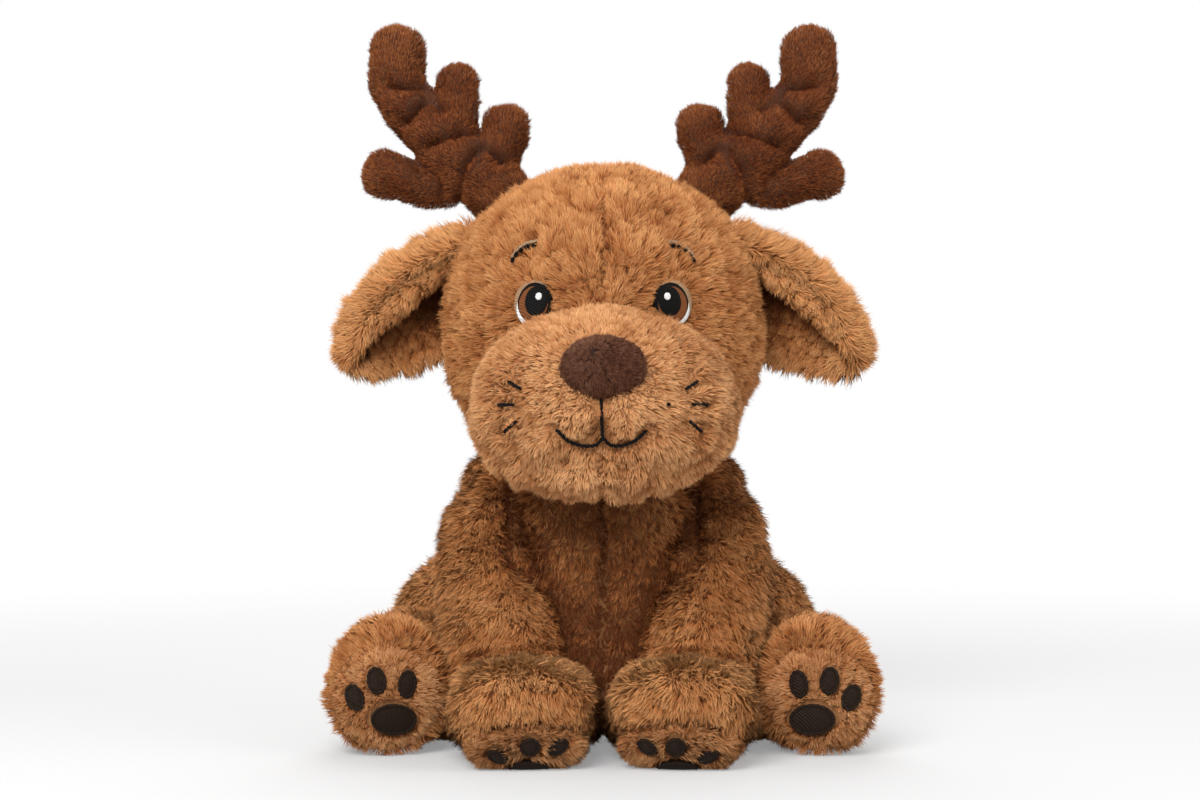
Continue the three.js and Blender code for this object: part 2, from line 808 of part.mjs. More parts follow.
function padOn(sole, [a, b, tilt], width, height) {
  const { look, up, across } = facing(sole.normal);
  const dome = Math.sqrt(1 - a ** 2 - b ** 2);
  const point = moved(sole.centre, across, (a * sole.size.width) / 2)
    .addScaledVector(up, (b * sole.size.height) / 2)
    .addScaledVector(look, (dome * sole.size.depth) / 2);
  const normal = across.multiplyScalar(a / sole.size.width);
  normal.addScaledVector(up, b / sole.size.height).addScaledVector(look, dome / sole.size.depth);
  normal.normalize();
  const size = { width, height, depth: padDepth, sides: padSides, rings: padRings, tilt };
  return solid(lens(point, normal, size)).intersect(blockBeyond(moved(point, normal, seamGap), normal));
}

// Front legs

const pawSole = {
  centre: vec(0.93 * pawOut, -pawForward - 0.33 * pawLength, 0.19 * pawHeight),
  normal: vec(-0.06, -0.72, -0.69).normalize(),
  size: { width: pawSoleWidth, height: pawSoleHeight, depth: pawSoleDepth },
  toeShares: [
    [-0.55, 0.5, 0.5],
    [-0.05, 0.56, 0],
    [0.5, 0.12, -0.6],
  ],
  padShares: [-0.04, -0.34, 0],
};

// The space that the nodding head needs over the shoulders, with a wall's thickness below it.
function headRoom(wall) {
  const floorOfHead = headBase - nodRoom - wall;
  const profile = headRoomShares.map(
    ([r, h]) => new THREE.Vector2((r * headWidth) / 2, floorOfHead + h * headHeight),
  );
  profile.push(new THREE.Vector2(0, profile[profile.length - 1].y), profile[0].clone());
  return solid(new THREE.LatheGeometry(profile, fineSides).rotateX(Math.PI / 2));
}

function buildFrontLegs() {
  const wrist = vec(0.89 * shoulderOut, -0.92 * frontLegReach, wristHeight);
  const wristUp = vec(0.14, 0.05, 1).normalize();
  const sleeveEnd = sleeveLayers.clear.intersect(blockBeyond(moved(wrist, wristUp, -seamGap), wristUp));
  const sleeveCuts = [torsoBeside, insideShoulders, neckSeat, thighClear];
  sleeveCuts.push(blockBeyond(wrist, opposite(wristUp)));
  const sleeveSkin = less(sleeveLayers.outside, headRoom(0), less(sleeveLayers.lining, headRoom(plushWall)));
  placePair("front_leg", "skin", less(sleeveSkin, ...sleeveCuts), bodyPlush);
  const sleeveCore = less(sleeveLayers.core, headRoom(plushWall + fillingGap));
  placePair("front_leg", "filling", less(sleeveCore, ...sleeveCuts), filling);

  const { centre, normal, size } = pawSole;
  const pawCuts = [sleeveEnd, belowFloor, torsoBeside, thighClear, blockBeyond(centre, normal)];
  placePair("front_paw", "skin", less(pawLayers.outside, pawLayers.lining, ...pawCuts), bodyPlush);
  placePair("front_paw", "filling", less(pawLayers.core, ...pawCuts), filling);

  const behindSole = blockBeyond(moved(centre, normal, seamGap), opposite(normal));
  placePair("front_paw", "sole", less(solid(lens(centre, normal, size)), behindSole, belowFloor), facePlush);
  pawSole.toeShares.forEach((shares, i) => {
    const toe = less(padOn(pawSole, shares, pawToeWidth, pawToeHeight), belowFloor);
    placePair("front_paw", `toe_pad_${i + 1}`, toe, padStitch);
  });
  const pad = less(padOn(pawSole, pawSole.padShares, pawPadWidth, pawPadHeight), belowFloor);
  placePair("front_paw", "main_pad", pad, padStitch);
}

// Hind legs: a thigh turned about the hip's upright axis, and a foot closed by a sole.

const footSole = {
  centre: vec(0.985 * footOut, -footForward, 0.42 * footHeight),
  normal: vec(-0.24, -0.96, -0.1).normalize(),
  size: { width: soleWidth, height: soleHeight, depth: soleDepth },
  toeShares: [
    [0.66, 0.08, -0.35],
    [0.27, 0.4, -0.15],
    [-0.3, 0.32, 0.12],
  ],
  padShares: [-0.06, -0.36, 0.12],
};

function buildHindLegs() {
  const thighLining = thighBody(-plushWall, coarseSides);
  const thighCore = thighBody(-plushWall - fillingGap, coarseSides);
  const hipOpening = new THREE.CylinderGeometry(hipOpeningRadius, hipOpeningRadius, hipOut, limbSides);
  hipOpening.rotateZ(Math.PI / 2).translate(hipOut / 2, hipBack, thighHeight / 2);
  const thighSkin = less(thighOutside, thighLining, solid(hipOpening), belowFloor);
  placePair("hind_leg", "skin", thighSkin, bodyPlush);
  placePair("hind_leg", "filling", less(thighCore, belowFloor), filling);

  const { centre, normal, size } = footSole;
  const legsBeside = [sleeveLayers.clear, pawLayers.clear, torsoLayers.clear, thighClear];
  const footCuts = [...legsBeside, blockBeyond(centre, normal), belowFloor];
  placePair("hind_foot", "skin", less(footLayers.outside, footLayers.lining, ...footCuts), bodyPlush);
  placePair("hind_foot", "filling", less(footLayers.core, ...footCuts), filling);

  const behindSole = blockBeyond(moved(centre, normal, seamGap), opposite(normal));
  const sole = less(solid(lens(centre, normal, size)), behindSole, pawLayers.clear, belowFloor);
  placePair("hind_foot", "sole", sole, facePlush);
  footSole.toeShares.forEach((shares, i) => {
    placePair("hind_foot", `toe_pad_${i + 1}`, padOn(footSole, shares, footToeWidth, footToeHeight), padStitch);
  });
  const pad = padOn(footSole, footSole.padShares, footPadWidth, footPadHeight);
  placePair("hind_foot", "main_pad", pad, padStitch);
}

// Tail

function buildTail() {
  const tail = stuffedLimb({
    start: tailRoot,
    across: 0,
    along: tailLength,
    up: tailLength,
    wide: tailRadius,
    thick: tailRadius,
    stopShares: tailShares,
  });
  place("tail", less(solid(tail.fine), less(torsoLayers.clear, tailSeat)), bodyPlush);
}

buildTorso();
buildHead();
buildEars();
buildAntlers();
buildFrontLegs();
buildHindLegs();
buildTail();

export default deer;
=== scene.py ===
"""A sitting plush deer, dressed over its CAD frame: sewn sections under a real pile, embroidery and pads.

Lengths in this script are millimetres until a mesh is made. +Z is up, the face looks towards -Y. Functions of p and
n give a value for each of many points and their normals; for a pair of pieces they describe the left one.
"""

import math
from collections import namedtuple
from functools import partial

import bpy
import numpy as np
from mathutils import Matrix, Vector


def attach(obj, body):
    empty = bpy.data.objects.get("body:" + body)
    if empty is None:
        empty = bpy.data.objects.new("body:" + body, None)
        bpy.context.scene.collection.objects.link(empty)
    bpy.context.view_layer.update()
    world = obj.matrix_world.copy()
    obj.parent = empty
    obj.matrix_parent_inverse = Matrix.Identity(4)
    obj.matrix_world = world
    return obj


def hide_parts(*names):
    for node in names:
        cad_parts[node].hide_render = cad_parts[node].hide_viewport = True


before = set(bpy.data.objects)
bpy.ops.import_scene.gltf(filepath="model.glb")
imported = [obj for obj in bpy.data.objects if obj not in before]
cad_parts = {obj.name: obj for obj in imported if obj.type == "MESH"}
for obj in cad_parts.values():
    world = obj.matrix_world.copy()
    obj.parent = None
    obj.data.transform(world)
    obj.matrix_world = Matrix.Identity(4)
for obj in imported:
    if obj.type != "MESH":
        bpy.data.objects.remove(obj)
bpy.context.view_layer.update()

MM = 0.001
SIDES = (("left", 1), ("right", -1))

# The lie of the pile
CLOTH_DEPTH = 4  # how far the cloth lies inside the CAD's surface, so that its pile reaches that
ROOT_DEPTH = 0.6  # how deep a blade stands in the cloth
PILE_FLOOR = 0.25  # the lowest place that a blade reaches
LOCK = 2.3  # the size of a lock, in tufts
SWIRL, SWIRL_SIZE = 0.35, 26  # how far the pile drifts from its comb, and the size of the drifts
BLADE_LENGTHS = (0.74, 1.1)  # the shortest and the longest, as shares of the length asked for

# The sections, as the CAD has them. Rows of a stuffed form: width, depth, shift along the depth, height, as shares
TORSO = dict(
    width=134, depth=126, height=146, base=0, middle=13, power=2.3,
    rows=[
        (0, 0, 0, 0), (0.68, 0.66, 0.02, 0), (0.9, 0.9, 0.02, 0.06), (1, 1, 0.01, 0.24), (1, 0.99, 0, 0.42),
        (0.95, 0.94, -0.02, 0.6), (0.9, 0.88, -0.04, 0.76), (0.82, 0.8, -0.04, 0.88), (0.6, 0.6, -0.03, 0.97),
        (0, 0, -0.03, 1),
    ],
)
HEAD = dict(
    width=167, depth=148, height=152, base=151.5, middle=0, power=2.1,
    rows=[
        (0, 0, 0.03, 0), (0.4, 0.4, 0.03, 0.012), (0.68, 0.66, 0.02, 0.06), (0.86, 0.83, 0.01, 0.14),
        (0.95, 0.93, 0, 0.24), (1, 0.99, 0, 0.38), (0.995, 1, 0, 0.51), (0.94, 0.97, 0, 0.66), (0.8, 0.86, 0, 0.8),
        (0.53, 0.62, 0, 0.92), (0.28, 0.34, 0, 0.98), (0, 0, 0, 1),
    ],
)
MUZZLE = dict(
    width=133, depth=114, height=97, base=131, middle=-78, power=2.2,
    rows=[
        (0, 0, -0.19, 0), (0.36, 0.22, -0.19, 0.02), (0.64, 0.4, -0.18, 0.085), (0.84, 0.62, -0.1, 0.18),
        (0.965, 0.88, -0.036, 0.31), (1, 1, 0, 0.46), (0.965, 0.965, 0.018, 0.61), (0.84, 0.82, 0.055, 0.765),
        (0.64, 0.6, 0.08, 0.87), (0.38, 0.35, 0.1, 0.955), (0, 0, 0.1, 1),
    ],
)
PAW = dict(
    width=76, depth=55, height=106, base=0, middle=-27.5, power=2.4,
    rows=[
        (0, 0, -0.02, 0), (0.5, 0.56, -0.02, 0.03), (0.8, 0.86, -0.01, 0.12), (0.95, 0.99, 0, 0.3), (1, 1.01, 0, 0.52),
        (0.97, 0.96, -0.01, 0.72), (0.84, 0.8, -0.04, 0.88), (0.55, 0.5, -0.08, 0.97), (0, 0, -0.1, 1),
    ],
)
PAW_OUT, PAW_FORWARD = 40.2, 65
NECK_CENTRE, NECK_RADIUS = (0, 8, 130), 38
THIGH_RADIUS, THIGH_HEIGHT, THIGH_PLACE = 38, 97, (77, 26)
TAIL_ROOT, TAIL_REACH, TAIL_RADIUS = (0, 80.7, 48), (0, 30, 30), 13
FOOT_REACH, FOOT_WIDE, FOOT_THICK, FOOT_BULGE = (33, -83, 71), 31, 35.5, 0.36
HEAD_ROOM_FLOOR = 144.5
ANTLER_ROOT, ANTLER_REACH, ANTLER_WIDE, ANTLER_THICK = (54.38, 0, 288.76), (76, 0, 95), 18, 14
EAR_ROOT, EAR_ALONG, EAR_UP = (73.9, 0, 265.96), (0.72, -0.06, -0.69), (0.69, 0, 0.72)
EAR_LENGTH, EAR_BACK_FLAP, EAR_FRONT_FLAP, EAR_FOLD, EAR_ARCH = 89, 53, 17, 9, 12
EAR_CURL, EAR_CURL_TURN = 5, 1.9
NOSE_PLACE, NOSE_SIZE, NOSE_WAY = (0, -130.7, 195.4), (41, 31, 22), (0, -1, 0.12)
EYE_PLACE, EYE_SIZE = (34.6, 227), (19.6, 23.4)
THIGH_ROWS = [(0, 0), (0.8, 0), (0.97, 0.16), (1, 0.42), (0.93, 0.66), (0.72, 0.85), (0.38, 0.97), (0, 1)]
EAR_WIDTHS = [(0, 0.5), (0.12, 0.74), (0.3, 0.94), (0.5, 1), (0.68, 1), (0.84, 0.82), (0.94, 0.56), (1, 0.28)]
HEAD_ROOM_ROWS = [(0, 0), (0.5, 0), (0.75, 0.04), (0.95, 0.14), (1.1, 0.36)]

# Stops of a limb: place across, along and up, and girth, as shares
SLEEVE_STOPS = [
    (0.926, -0.04, 1, 0.77), (0.963, 0.06, 0.88, 0.95), (1, 0.28, 0.716, 1), (0.981, 0.56, 0.552, 1),
    (0.907, 0.84, 0.388, 0.985), (0.852, 1, 0.24, 0.93),
]
FOOT_STOPS = [(0.22, 0.2, 0.53, 0.8), (0.66, 0.5, 0.51, 0.92), (0.94, 0.74, 0.485, 0.98), (1, 0.94, 0.475, 1)]
TAIL_STOPS = [(0, 0, 0, 1), (0, 0.45, 0.3, 0.95), (0, 0.62, 0.78, 0.6)]
ANTLER_STOPS = [
    [(-0.2, 0, -0.26, 0.95), (0, 0, 0, 0.97), (0.24, 0, 0.19, 1.06), (0.49, 0, 0.39, 1.03), (0.7, 0, 0.59, 0.88),
     (0.72, 0, 0.82, 0.82)],
    [(0.14, 0, 0.12, 0.68), (0.02, 0, 0.22, 0.7), (-0.045, 0, 0.4, 0.68)],
    [(0.36, 0, 0.3, 0.68), (0.32, 0, 0.46, 0.68), (0.3, 0, 0.63, 0.64)],
    [(0.3, 0, 0.06, 0.7), (0.56, 0, 0.075, 0.72), (0.83, 0, 0.125, 0.68)],
]
SLEEVE = dict(start=(0, 0, 0), reach=(54, -50, 134), stops=SLEEVE_STOPS)
SLEEVE_RADIUS = 32.5

# A sole: its middle, the way it faces, its size, its pile, and its pads with their place on it as shares of its half
# size, their lean, width and height
SOLES = {
    "front_paw": dict(
        centre=(37.386, -99.98, 10.45), way=(-0.06, -0.72, -0.69), size=(58, 32, 12), body="front_leg",
        count=8000, pile=6,
        pads=[("toe_pad_1", (-0.52, 0.46, 0.75), 7, 10.5), ("toe_pad_2", (-0.05, 0.54, 0), 8.8, 10),
              ("toe_pad_3", (0.48, 0.12, -0.85), 7, 10.5), ("main_pad", (-0.04, -0.38, 0), 20, 10)],
    ),
    "hind_foot": dict(
        centre=(108.35, -57, 29.82), way=(-0.24, -0.96, -0.1), size=(54, 52, 16), body="hind_leg",
        count=10000, pile=5,
        pads=[("toe_pad_1", (0.66, 0.08, -0.35), 8.4, 13), ("toe_pad_2", (0.27, 0.4, -0.15), 8.6, 13.4),
              ("toe_pad_3", (-0.3, 0.32, 0.12), 8.6, 13.4), ("main_pad", (-0.06, -0.36, 0.12), 23.5, 16)],
    ),
}

# The embroidery, across and up on the muzzle and the head
MOUTH_LINES = [
    [(-1.0, 181), (-0.6, 171), (-0.2, 160.6)],
    [(-22.3, 166.2), (-16.0, 160.4), (-8.9, 158.2), (-3.2, 158.8), (-0.3, 162.0)],
    [(0.0, 162.0), (3.4, 158.8), (7.2, 158.2), (14.4, 160.3), (21.0, 165.8)],
]
WHISKER_LINES = [
    [(side * x, z) for x, z in line]
    for side in (1, -1)
    for line in ([(46.4, 189.6), (39.6, 185.4)], [(51.4, 177.8), (42.8, 178.0)], [(48.4, 164.2), (41.6, 170.0)])
]
FRECKLES = [(31.0, 178.0), (-31.0, 178.0)]
BROW_LINE = [(46.0, 249.0), (43.0, 253.4), (38.6, 256.4), (32.6, 257.6)]

# The seams of the antlers and of the sleeve
ANTLER_CREASES = [
    [(110.8, 343.8), (104, 342.4), (95.6, 343.6), (91.4, 338.5)],
    [(91.4, 337), (96.6, 331.2), (101.9, 325.4)],
    [(90.8, 337), (83.5, 330.7)],
    [(66.5, 320.5), (79.3, 317), (90.3, 312.8)],
    [(63, 312.8), (71.4, 301.3), (73.5, 292.9), (75.6, 281.3)],
    [(62.5, 312.3), (54.6, 304.4)],
    [(99.2, 305.5), (90.3, 300.2), (85.1, 295), (84, 289.7)],
]
ANTLER_NOTCHES = [(91.4, 339.5), (63.2, 314.6), (100.5, 306.5)]
SLEEVE_SEAM = [(47.5, 0, 141), (49.5, 0, 120), (49.8, 0, 101), (44, 0, 92), (35, 0, 87), (27, 0, 85)]
NO_SEAM = 99  # a distance at which no seam is felt


# --- curves, noise and tufts


def dot(a, b):
    """The sums of products along the last axis, kept as a column."""
    return (a * b).sum(-1, keepdims=True)


def unit(v):
    """Each vector over its own length."""
    return v / np.maximum(np.linalg.norm(v, axis=-1, keepdims=True), 1e-9)


def spline(stops, t):
    """The smooth curve through the stops at t from 0 to 1: in each span a cubic that leaves and arrives at the
    slopes of the neighbouring chords, each weighed by the square root of its length."""
    p = np.asarray(stops, float)
    p = np.vstack([2 * p[0] - p[1], p, 2 * p[-1] - p[-2]])
    x = np.clip(np.asarray(t, float), 0, 1) * (len(p) - 3)
    i = np.minimum(x.astype(int), len(p) - 4)
    w = (x - i)[..., None]
    a, b, c, d = (p[i + k] for k in range(4))
    step = [np.sqrt(np.linalg.norm(q - r, axis=-1, keepdims=True)) for q, r in ((b, a), (c, b), (d, c))]
    step[1] = np.where(step[1] < 1e-4, 1, step[1])
    step[0], step[2] = (np.where(s < 1e-4, step[1], s) for s in (step[0], step[2]))
    leave = ((b - a) / step[0] - (c - a) / (step[0] + step[1]) + (c - b) / step[1]) * step[1]
    arrive = ((c - b) / step[1] - (d - b) / (step[1] + step[2]) + (d - c) / step[2]) * step[1]
    bow = -3 * b + 3 * c - 2 * leave - arrive
    twist = 2 * b - 2 * c + leave + arrive
    return b + leave * w + bow * w**2 + twist * w**3


def ripple(p, size, seed):
    """A smooth random value from about -1 to 1: the mean of twelve sine waves whose lengths lie round size and
    whose directions are random, times a gain that makes it fill that span."""
    rng = np.random.default_rng(seed)
    ways = unit(rng.normal(size=(12, 3))) * (2 * np.pi / size) * rng.uniform(0.6, 1.5, (12, 1))
    return np.sin(p @ ways.T + rng.uniform(0, 2 * np.pi, 12)).mean(-1) * 2.6


def hashed(cells, seed):
    """Three even random values from 0 to 1 for each whole-number cell, the same on every run."""
    n = (cells @ np.array([73856093, 19349663, 83492791])) ^ (seed * 2654435761)
    out = []
    for _ in range(3):
        n = ((n ^ (n >> 15)) * 0x45D9F3B + 0x1234567) & 0xFFFFFFFF
        n = n ^ (n >> 13)
        out.append((n & 0xFFFF) / 65535)
    return np.stack(out, -1)


def tufts(p, size, seed):
    """The way from each point to the nearest of a cloud of centres, one at a random place in each cube of that
    size, and that centre's own three random values from -1 to 1."""
    at = p / size - 0.5
    cell = np.floor(at).astype(np.int64)
    near = np.full(len(p), np.inf)
    way, kin = np.zeros_like(p), np.zeros_like(p)
    for corner in np.ndindex(2, 2, 2):
        here = cell + corner
        value = hashed(here, seed)
        to = here + value - p / size
        far = (to**2).sum(-1)
        closer = far < near
        near = np.where(closer, far, near)
        way[closer] = to[closer]
        kin[closer] = value[closer]
    return way * size, 2 * ((kin * (7.31, 5.17, 3.71)) % 1) - 1


def smooth_step(low, high, x):
    """0 below low, 1 above high, and an S between."""
    t = np.clip((x - low) / (high - low), 0, 1)
    return t * t * (3 - 2 * t)


def bell(distance, width):
    """1 at nought, and less on both sides: e to minus the square of the distance over the width."""
    return np.exp(-((distance / width) ** 2))


# --- surfaces: points and triangles


def normals_of(points, faces):
    """The sum of the cross products of the triangles round each point, as a unit vector."""
    a, b, c = (points[faces[:, i]] for i in range(3))
    across = np.cross(b - a, c - a)
    total = [np.bincount(faces.ravel(), np.repeat(across[:, k], 3), len(points)) for k in range(3)]
    return unit(np.stack(total, 1))


def outward(points, faces):
    """The faces turned so that the solid has a volume above nought."""
    a, b, c = (points[faces[:, i]] for i in range(3))
    return faces if (a * np.cross(b, c)).sum() > 0 else faces[:, ::-1]


def ring_surface(ring_point, around=92, along=68):
    """A closed skin from pole to pole: rings of points at even steps, joined by two triangles a cell."""
    v, u = np.meshgrid(np.arange(1, along) / along, np.arange(around) / around, indexing="ij")
    ends = ring_point(np.zeros(2), np.array([0.0, 1.0]))
    points = np.vstack([ends[:1], ring_point(u.ravel(), v.ravel()), ends[1:]])
    ring, side = np.meshgrid(np.arange(along - 2), np.arange(around), indexing="ij")
    a, b = 1 + ring * around + side, 1 + ring * around + (side + 1) % around
    cells = np.stack([a, a + around, b + around, a, b + around, b], -1).reshape(-1, 3)
    side = np.arange(around)
    last, start = len(points) - 1, 1 + (along - 2) * around
    low = np.stack([np.zeros_like(side), 1 + side, 1 + (side + 1) % around], -1)
    top = np.stack([np.full_like(side, last), start + (side + 1) % around, start + side], -1)
    faces = np.vstack([low, cells, top])
    return points, outward(points, faces)


def squared(value, power):
    """The value's sign times its size to the power of 2 over power: it squares off a circle."""
    return np.sign(value) * np.abs(value) ** (2 / power)


def section_of(form, along):
    """Half width, half depth, middle and height of a stuffed form at along, from the spline through its rows."""
    rows = np.array(form["rows"])
    size = spline(rows[:, [0, 1, 3]], along)
    shift = spline(rows[:, [2, 0, 3]], along)[..., 0]
    return (
        np.maximum(size[..., 0], 0) * form["width"] / 2,
        np.maximum(size[..., 1], 0) * form["depth"] / 2,
        form["middle"] + shift * form["depth"],
        form["base"] + size[..., 2] * form["height"],
    )


def stuffed_form(form):
    """A surface of upright rings: each ring is a squared-off ellipse as wide and deep as its row."""

    def ring_point(around, along):
        wide, deep, middle, z = section_of(form, along)
        across, back = (squared(way(2 * np.pi * around), form["power"]) for way in (np.cos, np.sin))
        return np.stack([wide * across, middle + deep * back, z], -1)

    return ring_point


def stuffed_limb(start, reach, wide, thick, stops, bulge=1.0):
    """A surface of rings square to a smooth spine, closed at each end by a quarter of an ellipse."""
    stops = np.array(stops, float)
    spine = np.array(start) + stops[:, :3] * np.array(reach)
    cap = 0.25

    def ring_point(around, along):
        body = np.clip((along - cap) / (1 - 2 * cap), 0, 1)
        turn_in = np.maximum(0, np.maximum(cap - along, along - 1 + cap)) / cap * np.pi / 2
        size = spline(stops[:, 3:], body)
        step = 1e-3
        ahead = unit(spline(spine, body + step) - spline(spine, body - step))
        out = np.where(along < cap, -1.0, bulge)[..., None]
        centre = spline(spine, body) + ahead * out * size * thick * np.sin(turn_in)[..., None]
        thick_way = unit(np.cross(ahead, [1.0, 0, 0]))
        wide_way = unit(np.cross(thick_way, ahead))
        ring = size * np.cos(turn_in)[..., None]
        turn = (2 * np.pi * around)[..., None]
        return centre + wide_way * wide * ring * np.cos(turn) + thick_way * thick * ring * np.sin(turn)

    return ring_point


def inside(form, p):
    """How deep points lie in a stuffed form, in millimetres: one less their squared-off radius, times the ring's
    smaller half width. Below nought outside."""
    wide, deep, middle, z = section_of(form, np.linspace(0, 1, 400))
    order = np.argsort(z, kind="stable")
    w, d, m = (np.interp(p[:, 2], z[order], q[order]) for q in (wide, deep, middle))
    share = (np.abs(p[:, 0]) / np.maximum(w, 1)) ** form["power"]
    share = share + (np.abs(p[:, 1] - m) / np.maximum(d, 1)) ** form["power"]
    level = np.minimum(p[:, 2] - form["base"], form["base"] + form["height"] - p[:, 2])
    return np.minimum((1 - share ** (1 / form["power"])) * np.minimum(w, d), level)


def inside_limb(start, reach, radius, stops, p):
    """How deep points lie in a round limb: the girth at the nearest of forty points of its spine, less the way
    there."""
    stops = np.array(stops, float)
    t = np.linspace(0, 1, 40)
    spine = spline(np.array(start) + stops[:, :3] * np.array(reach), t)
    girth = spline(stops[:, 3:], t)[:, 0] * radius
    far = np.linalg.norm(p[:, None, :] - spine[None], axis=-1)
    return (girth[None] - far).max(1)


def in_sleeve(p):
    """How deep points lie in the left sleeve."""
    return inside_limb(**SLEEVE, radius=SLEEVE_RADIUS, p=p)


def front_of(form, x, z):
    """The point of a form's front at a place across and a height, and its way out, from two small steps."""

    def at(x, z):
        wide, deep, middle, height = section_of(form, np.linspace(0, 1, 2000))
        w, d, m = (np.interp(z, height, q) for q in (wide, deep, middle))
        bulge = np.maximum(0, 1 - (np.abs(x) / w) ** form["power"])
        return np.stack([x, m - d * bulge ** (1 / form["power"]), z], -1)

    x, z = np.broadcast_arrays(np.asarray(x, float), np.asarray(z, float))
    normal = unit(np.cross(at(x + 0.5, z) - at(x - 0.5, z), at(x, z + 0.5) - at(x, z - 0.5)))
    return at(x, z), normal


head_front, muzzle_front = partial(front_of, HEAD), partial(front_of, MUZZLE)


def grown(surface, distance):
    """The surface with every point moved along its normal."""
    points, faces = surface
    return points + normals_of(points, faces) * distance, faces


def mirrored(surface):
    """The surface's image across the middle plane."""
    points, faces = surface
    return points * (-1, 1, 1), faces[:, ::-1]


def shaped(surface, relief):
    """The surface raised along its normals by relief, a height in millimetres for each point."""
    points, faces = surface
    normals = normals_of(points, faces)
    return points + normals * relief(points, normals)[:, None], faces


def on_floor(surface, lift=0.4):
    """The surface flattened where it would reach below the floor."""
    points, faces = surface
    points = points.copy()
    points[:, 2] = np.maximum(points[:, 2], lift)
    return points, faces


def flattened(surface, sole):
    """The surface cut flat two millimetres inside the sole's plane."""
    points, faces = surface
    way = unit(np.array(sole["way"]))
    over = np.maximum(0, (points - sole["centre"]) @ way + 2)
    return points - over[:, None] * way, faces


# --- meshes


def make_piece(name, surface, body, fabric, replaces=(), hair=None):
    """A piece from its points and triangles, in metres, riding on a body. hair gives the map and the normals of pile."""
    points, faces = surface
    mesh = bpy.data.meshes.new(name)
    mesh.vertices.add(len(points))
    mesh.vertices.foreach_set("co", (points * MM).astype(np.float32).ravel())
    mesh.loops.add(faces.size)
    mesh.loops.foreach_set("vertex_index", faces.astype(np.int32).ravel())
    mesh.polygons.add(len(faces))
    mesh.polygons.foreach_set("loop_start", np.arange(0, faces.size, 3, dtype=np.int32))
    mesh.update(calc_edges=True)
    mesh.polygons.foreach_set("use_smooth", np.ones(len(faces), bool))
    if hair:
        layer = mesh.uv_layers.new(name="pile")
        layer.uv.foreach_set("vector", hair[0][faces.ravel()].astype(np.float32).ravel())
        mesh.normals_split_custom_set_from_vertices(hair[1].astype(np.float32))
    mesh.materials.append(fabric.hair if hair else fabric.cloth)
    piece = bpy.data.objects.new(name, mesh)
    bpy.context.scene.collection.objects.link(piece)
    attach(piece, body)
    if replaces:
        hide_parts(*replaces)


def roots_on(surface, count, rng, weight):
    """Evenly spread points on the triangles, more where weight is more: the running sum of area times weight is
    cut into equal parts, and each part gives one point at a random place in its triangle."""
    points, faces = surface
    normals = normals_of(points, faces)
    corner = points[faces]
    area = np.linalg.norm(np.cross(corner[:, 1] - corner[:, 0], corner[:, 2] - corner[:, 0]), axis=1)
    total = np.cumsum(area * weight(corner.mean(1), unit(normals[faces].sum(1))))
    pick = np.searchsorted(total, (np.arange(count) + rng.random(count)) / count * total[-1])
    pick = np.minimum(pick, len(faces) - 1)
    a, b = rng.random(count), rng.random(count)
    fold = a + b > 1
    a, b = np.where(fold, 1 - a, a)[:, None], np.where(fold, 1 - b, b)[:, None]
    mix = (1 - a - b, a, b)
    root = sum(m * points[faces[pick, k]] for k, m in enumerate(mix))
    normal = unit(sum(m * normals[faces[pick, k]] for k, m in enumerate(mix)))
    return root, normal


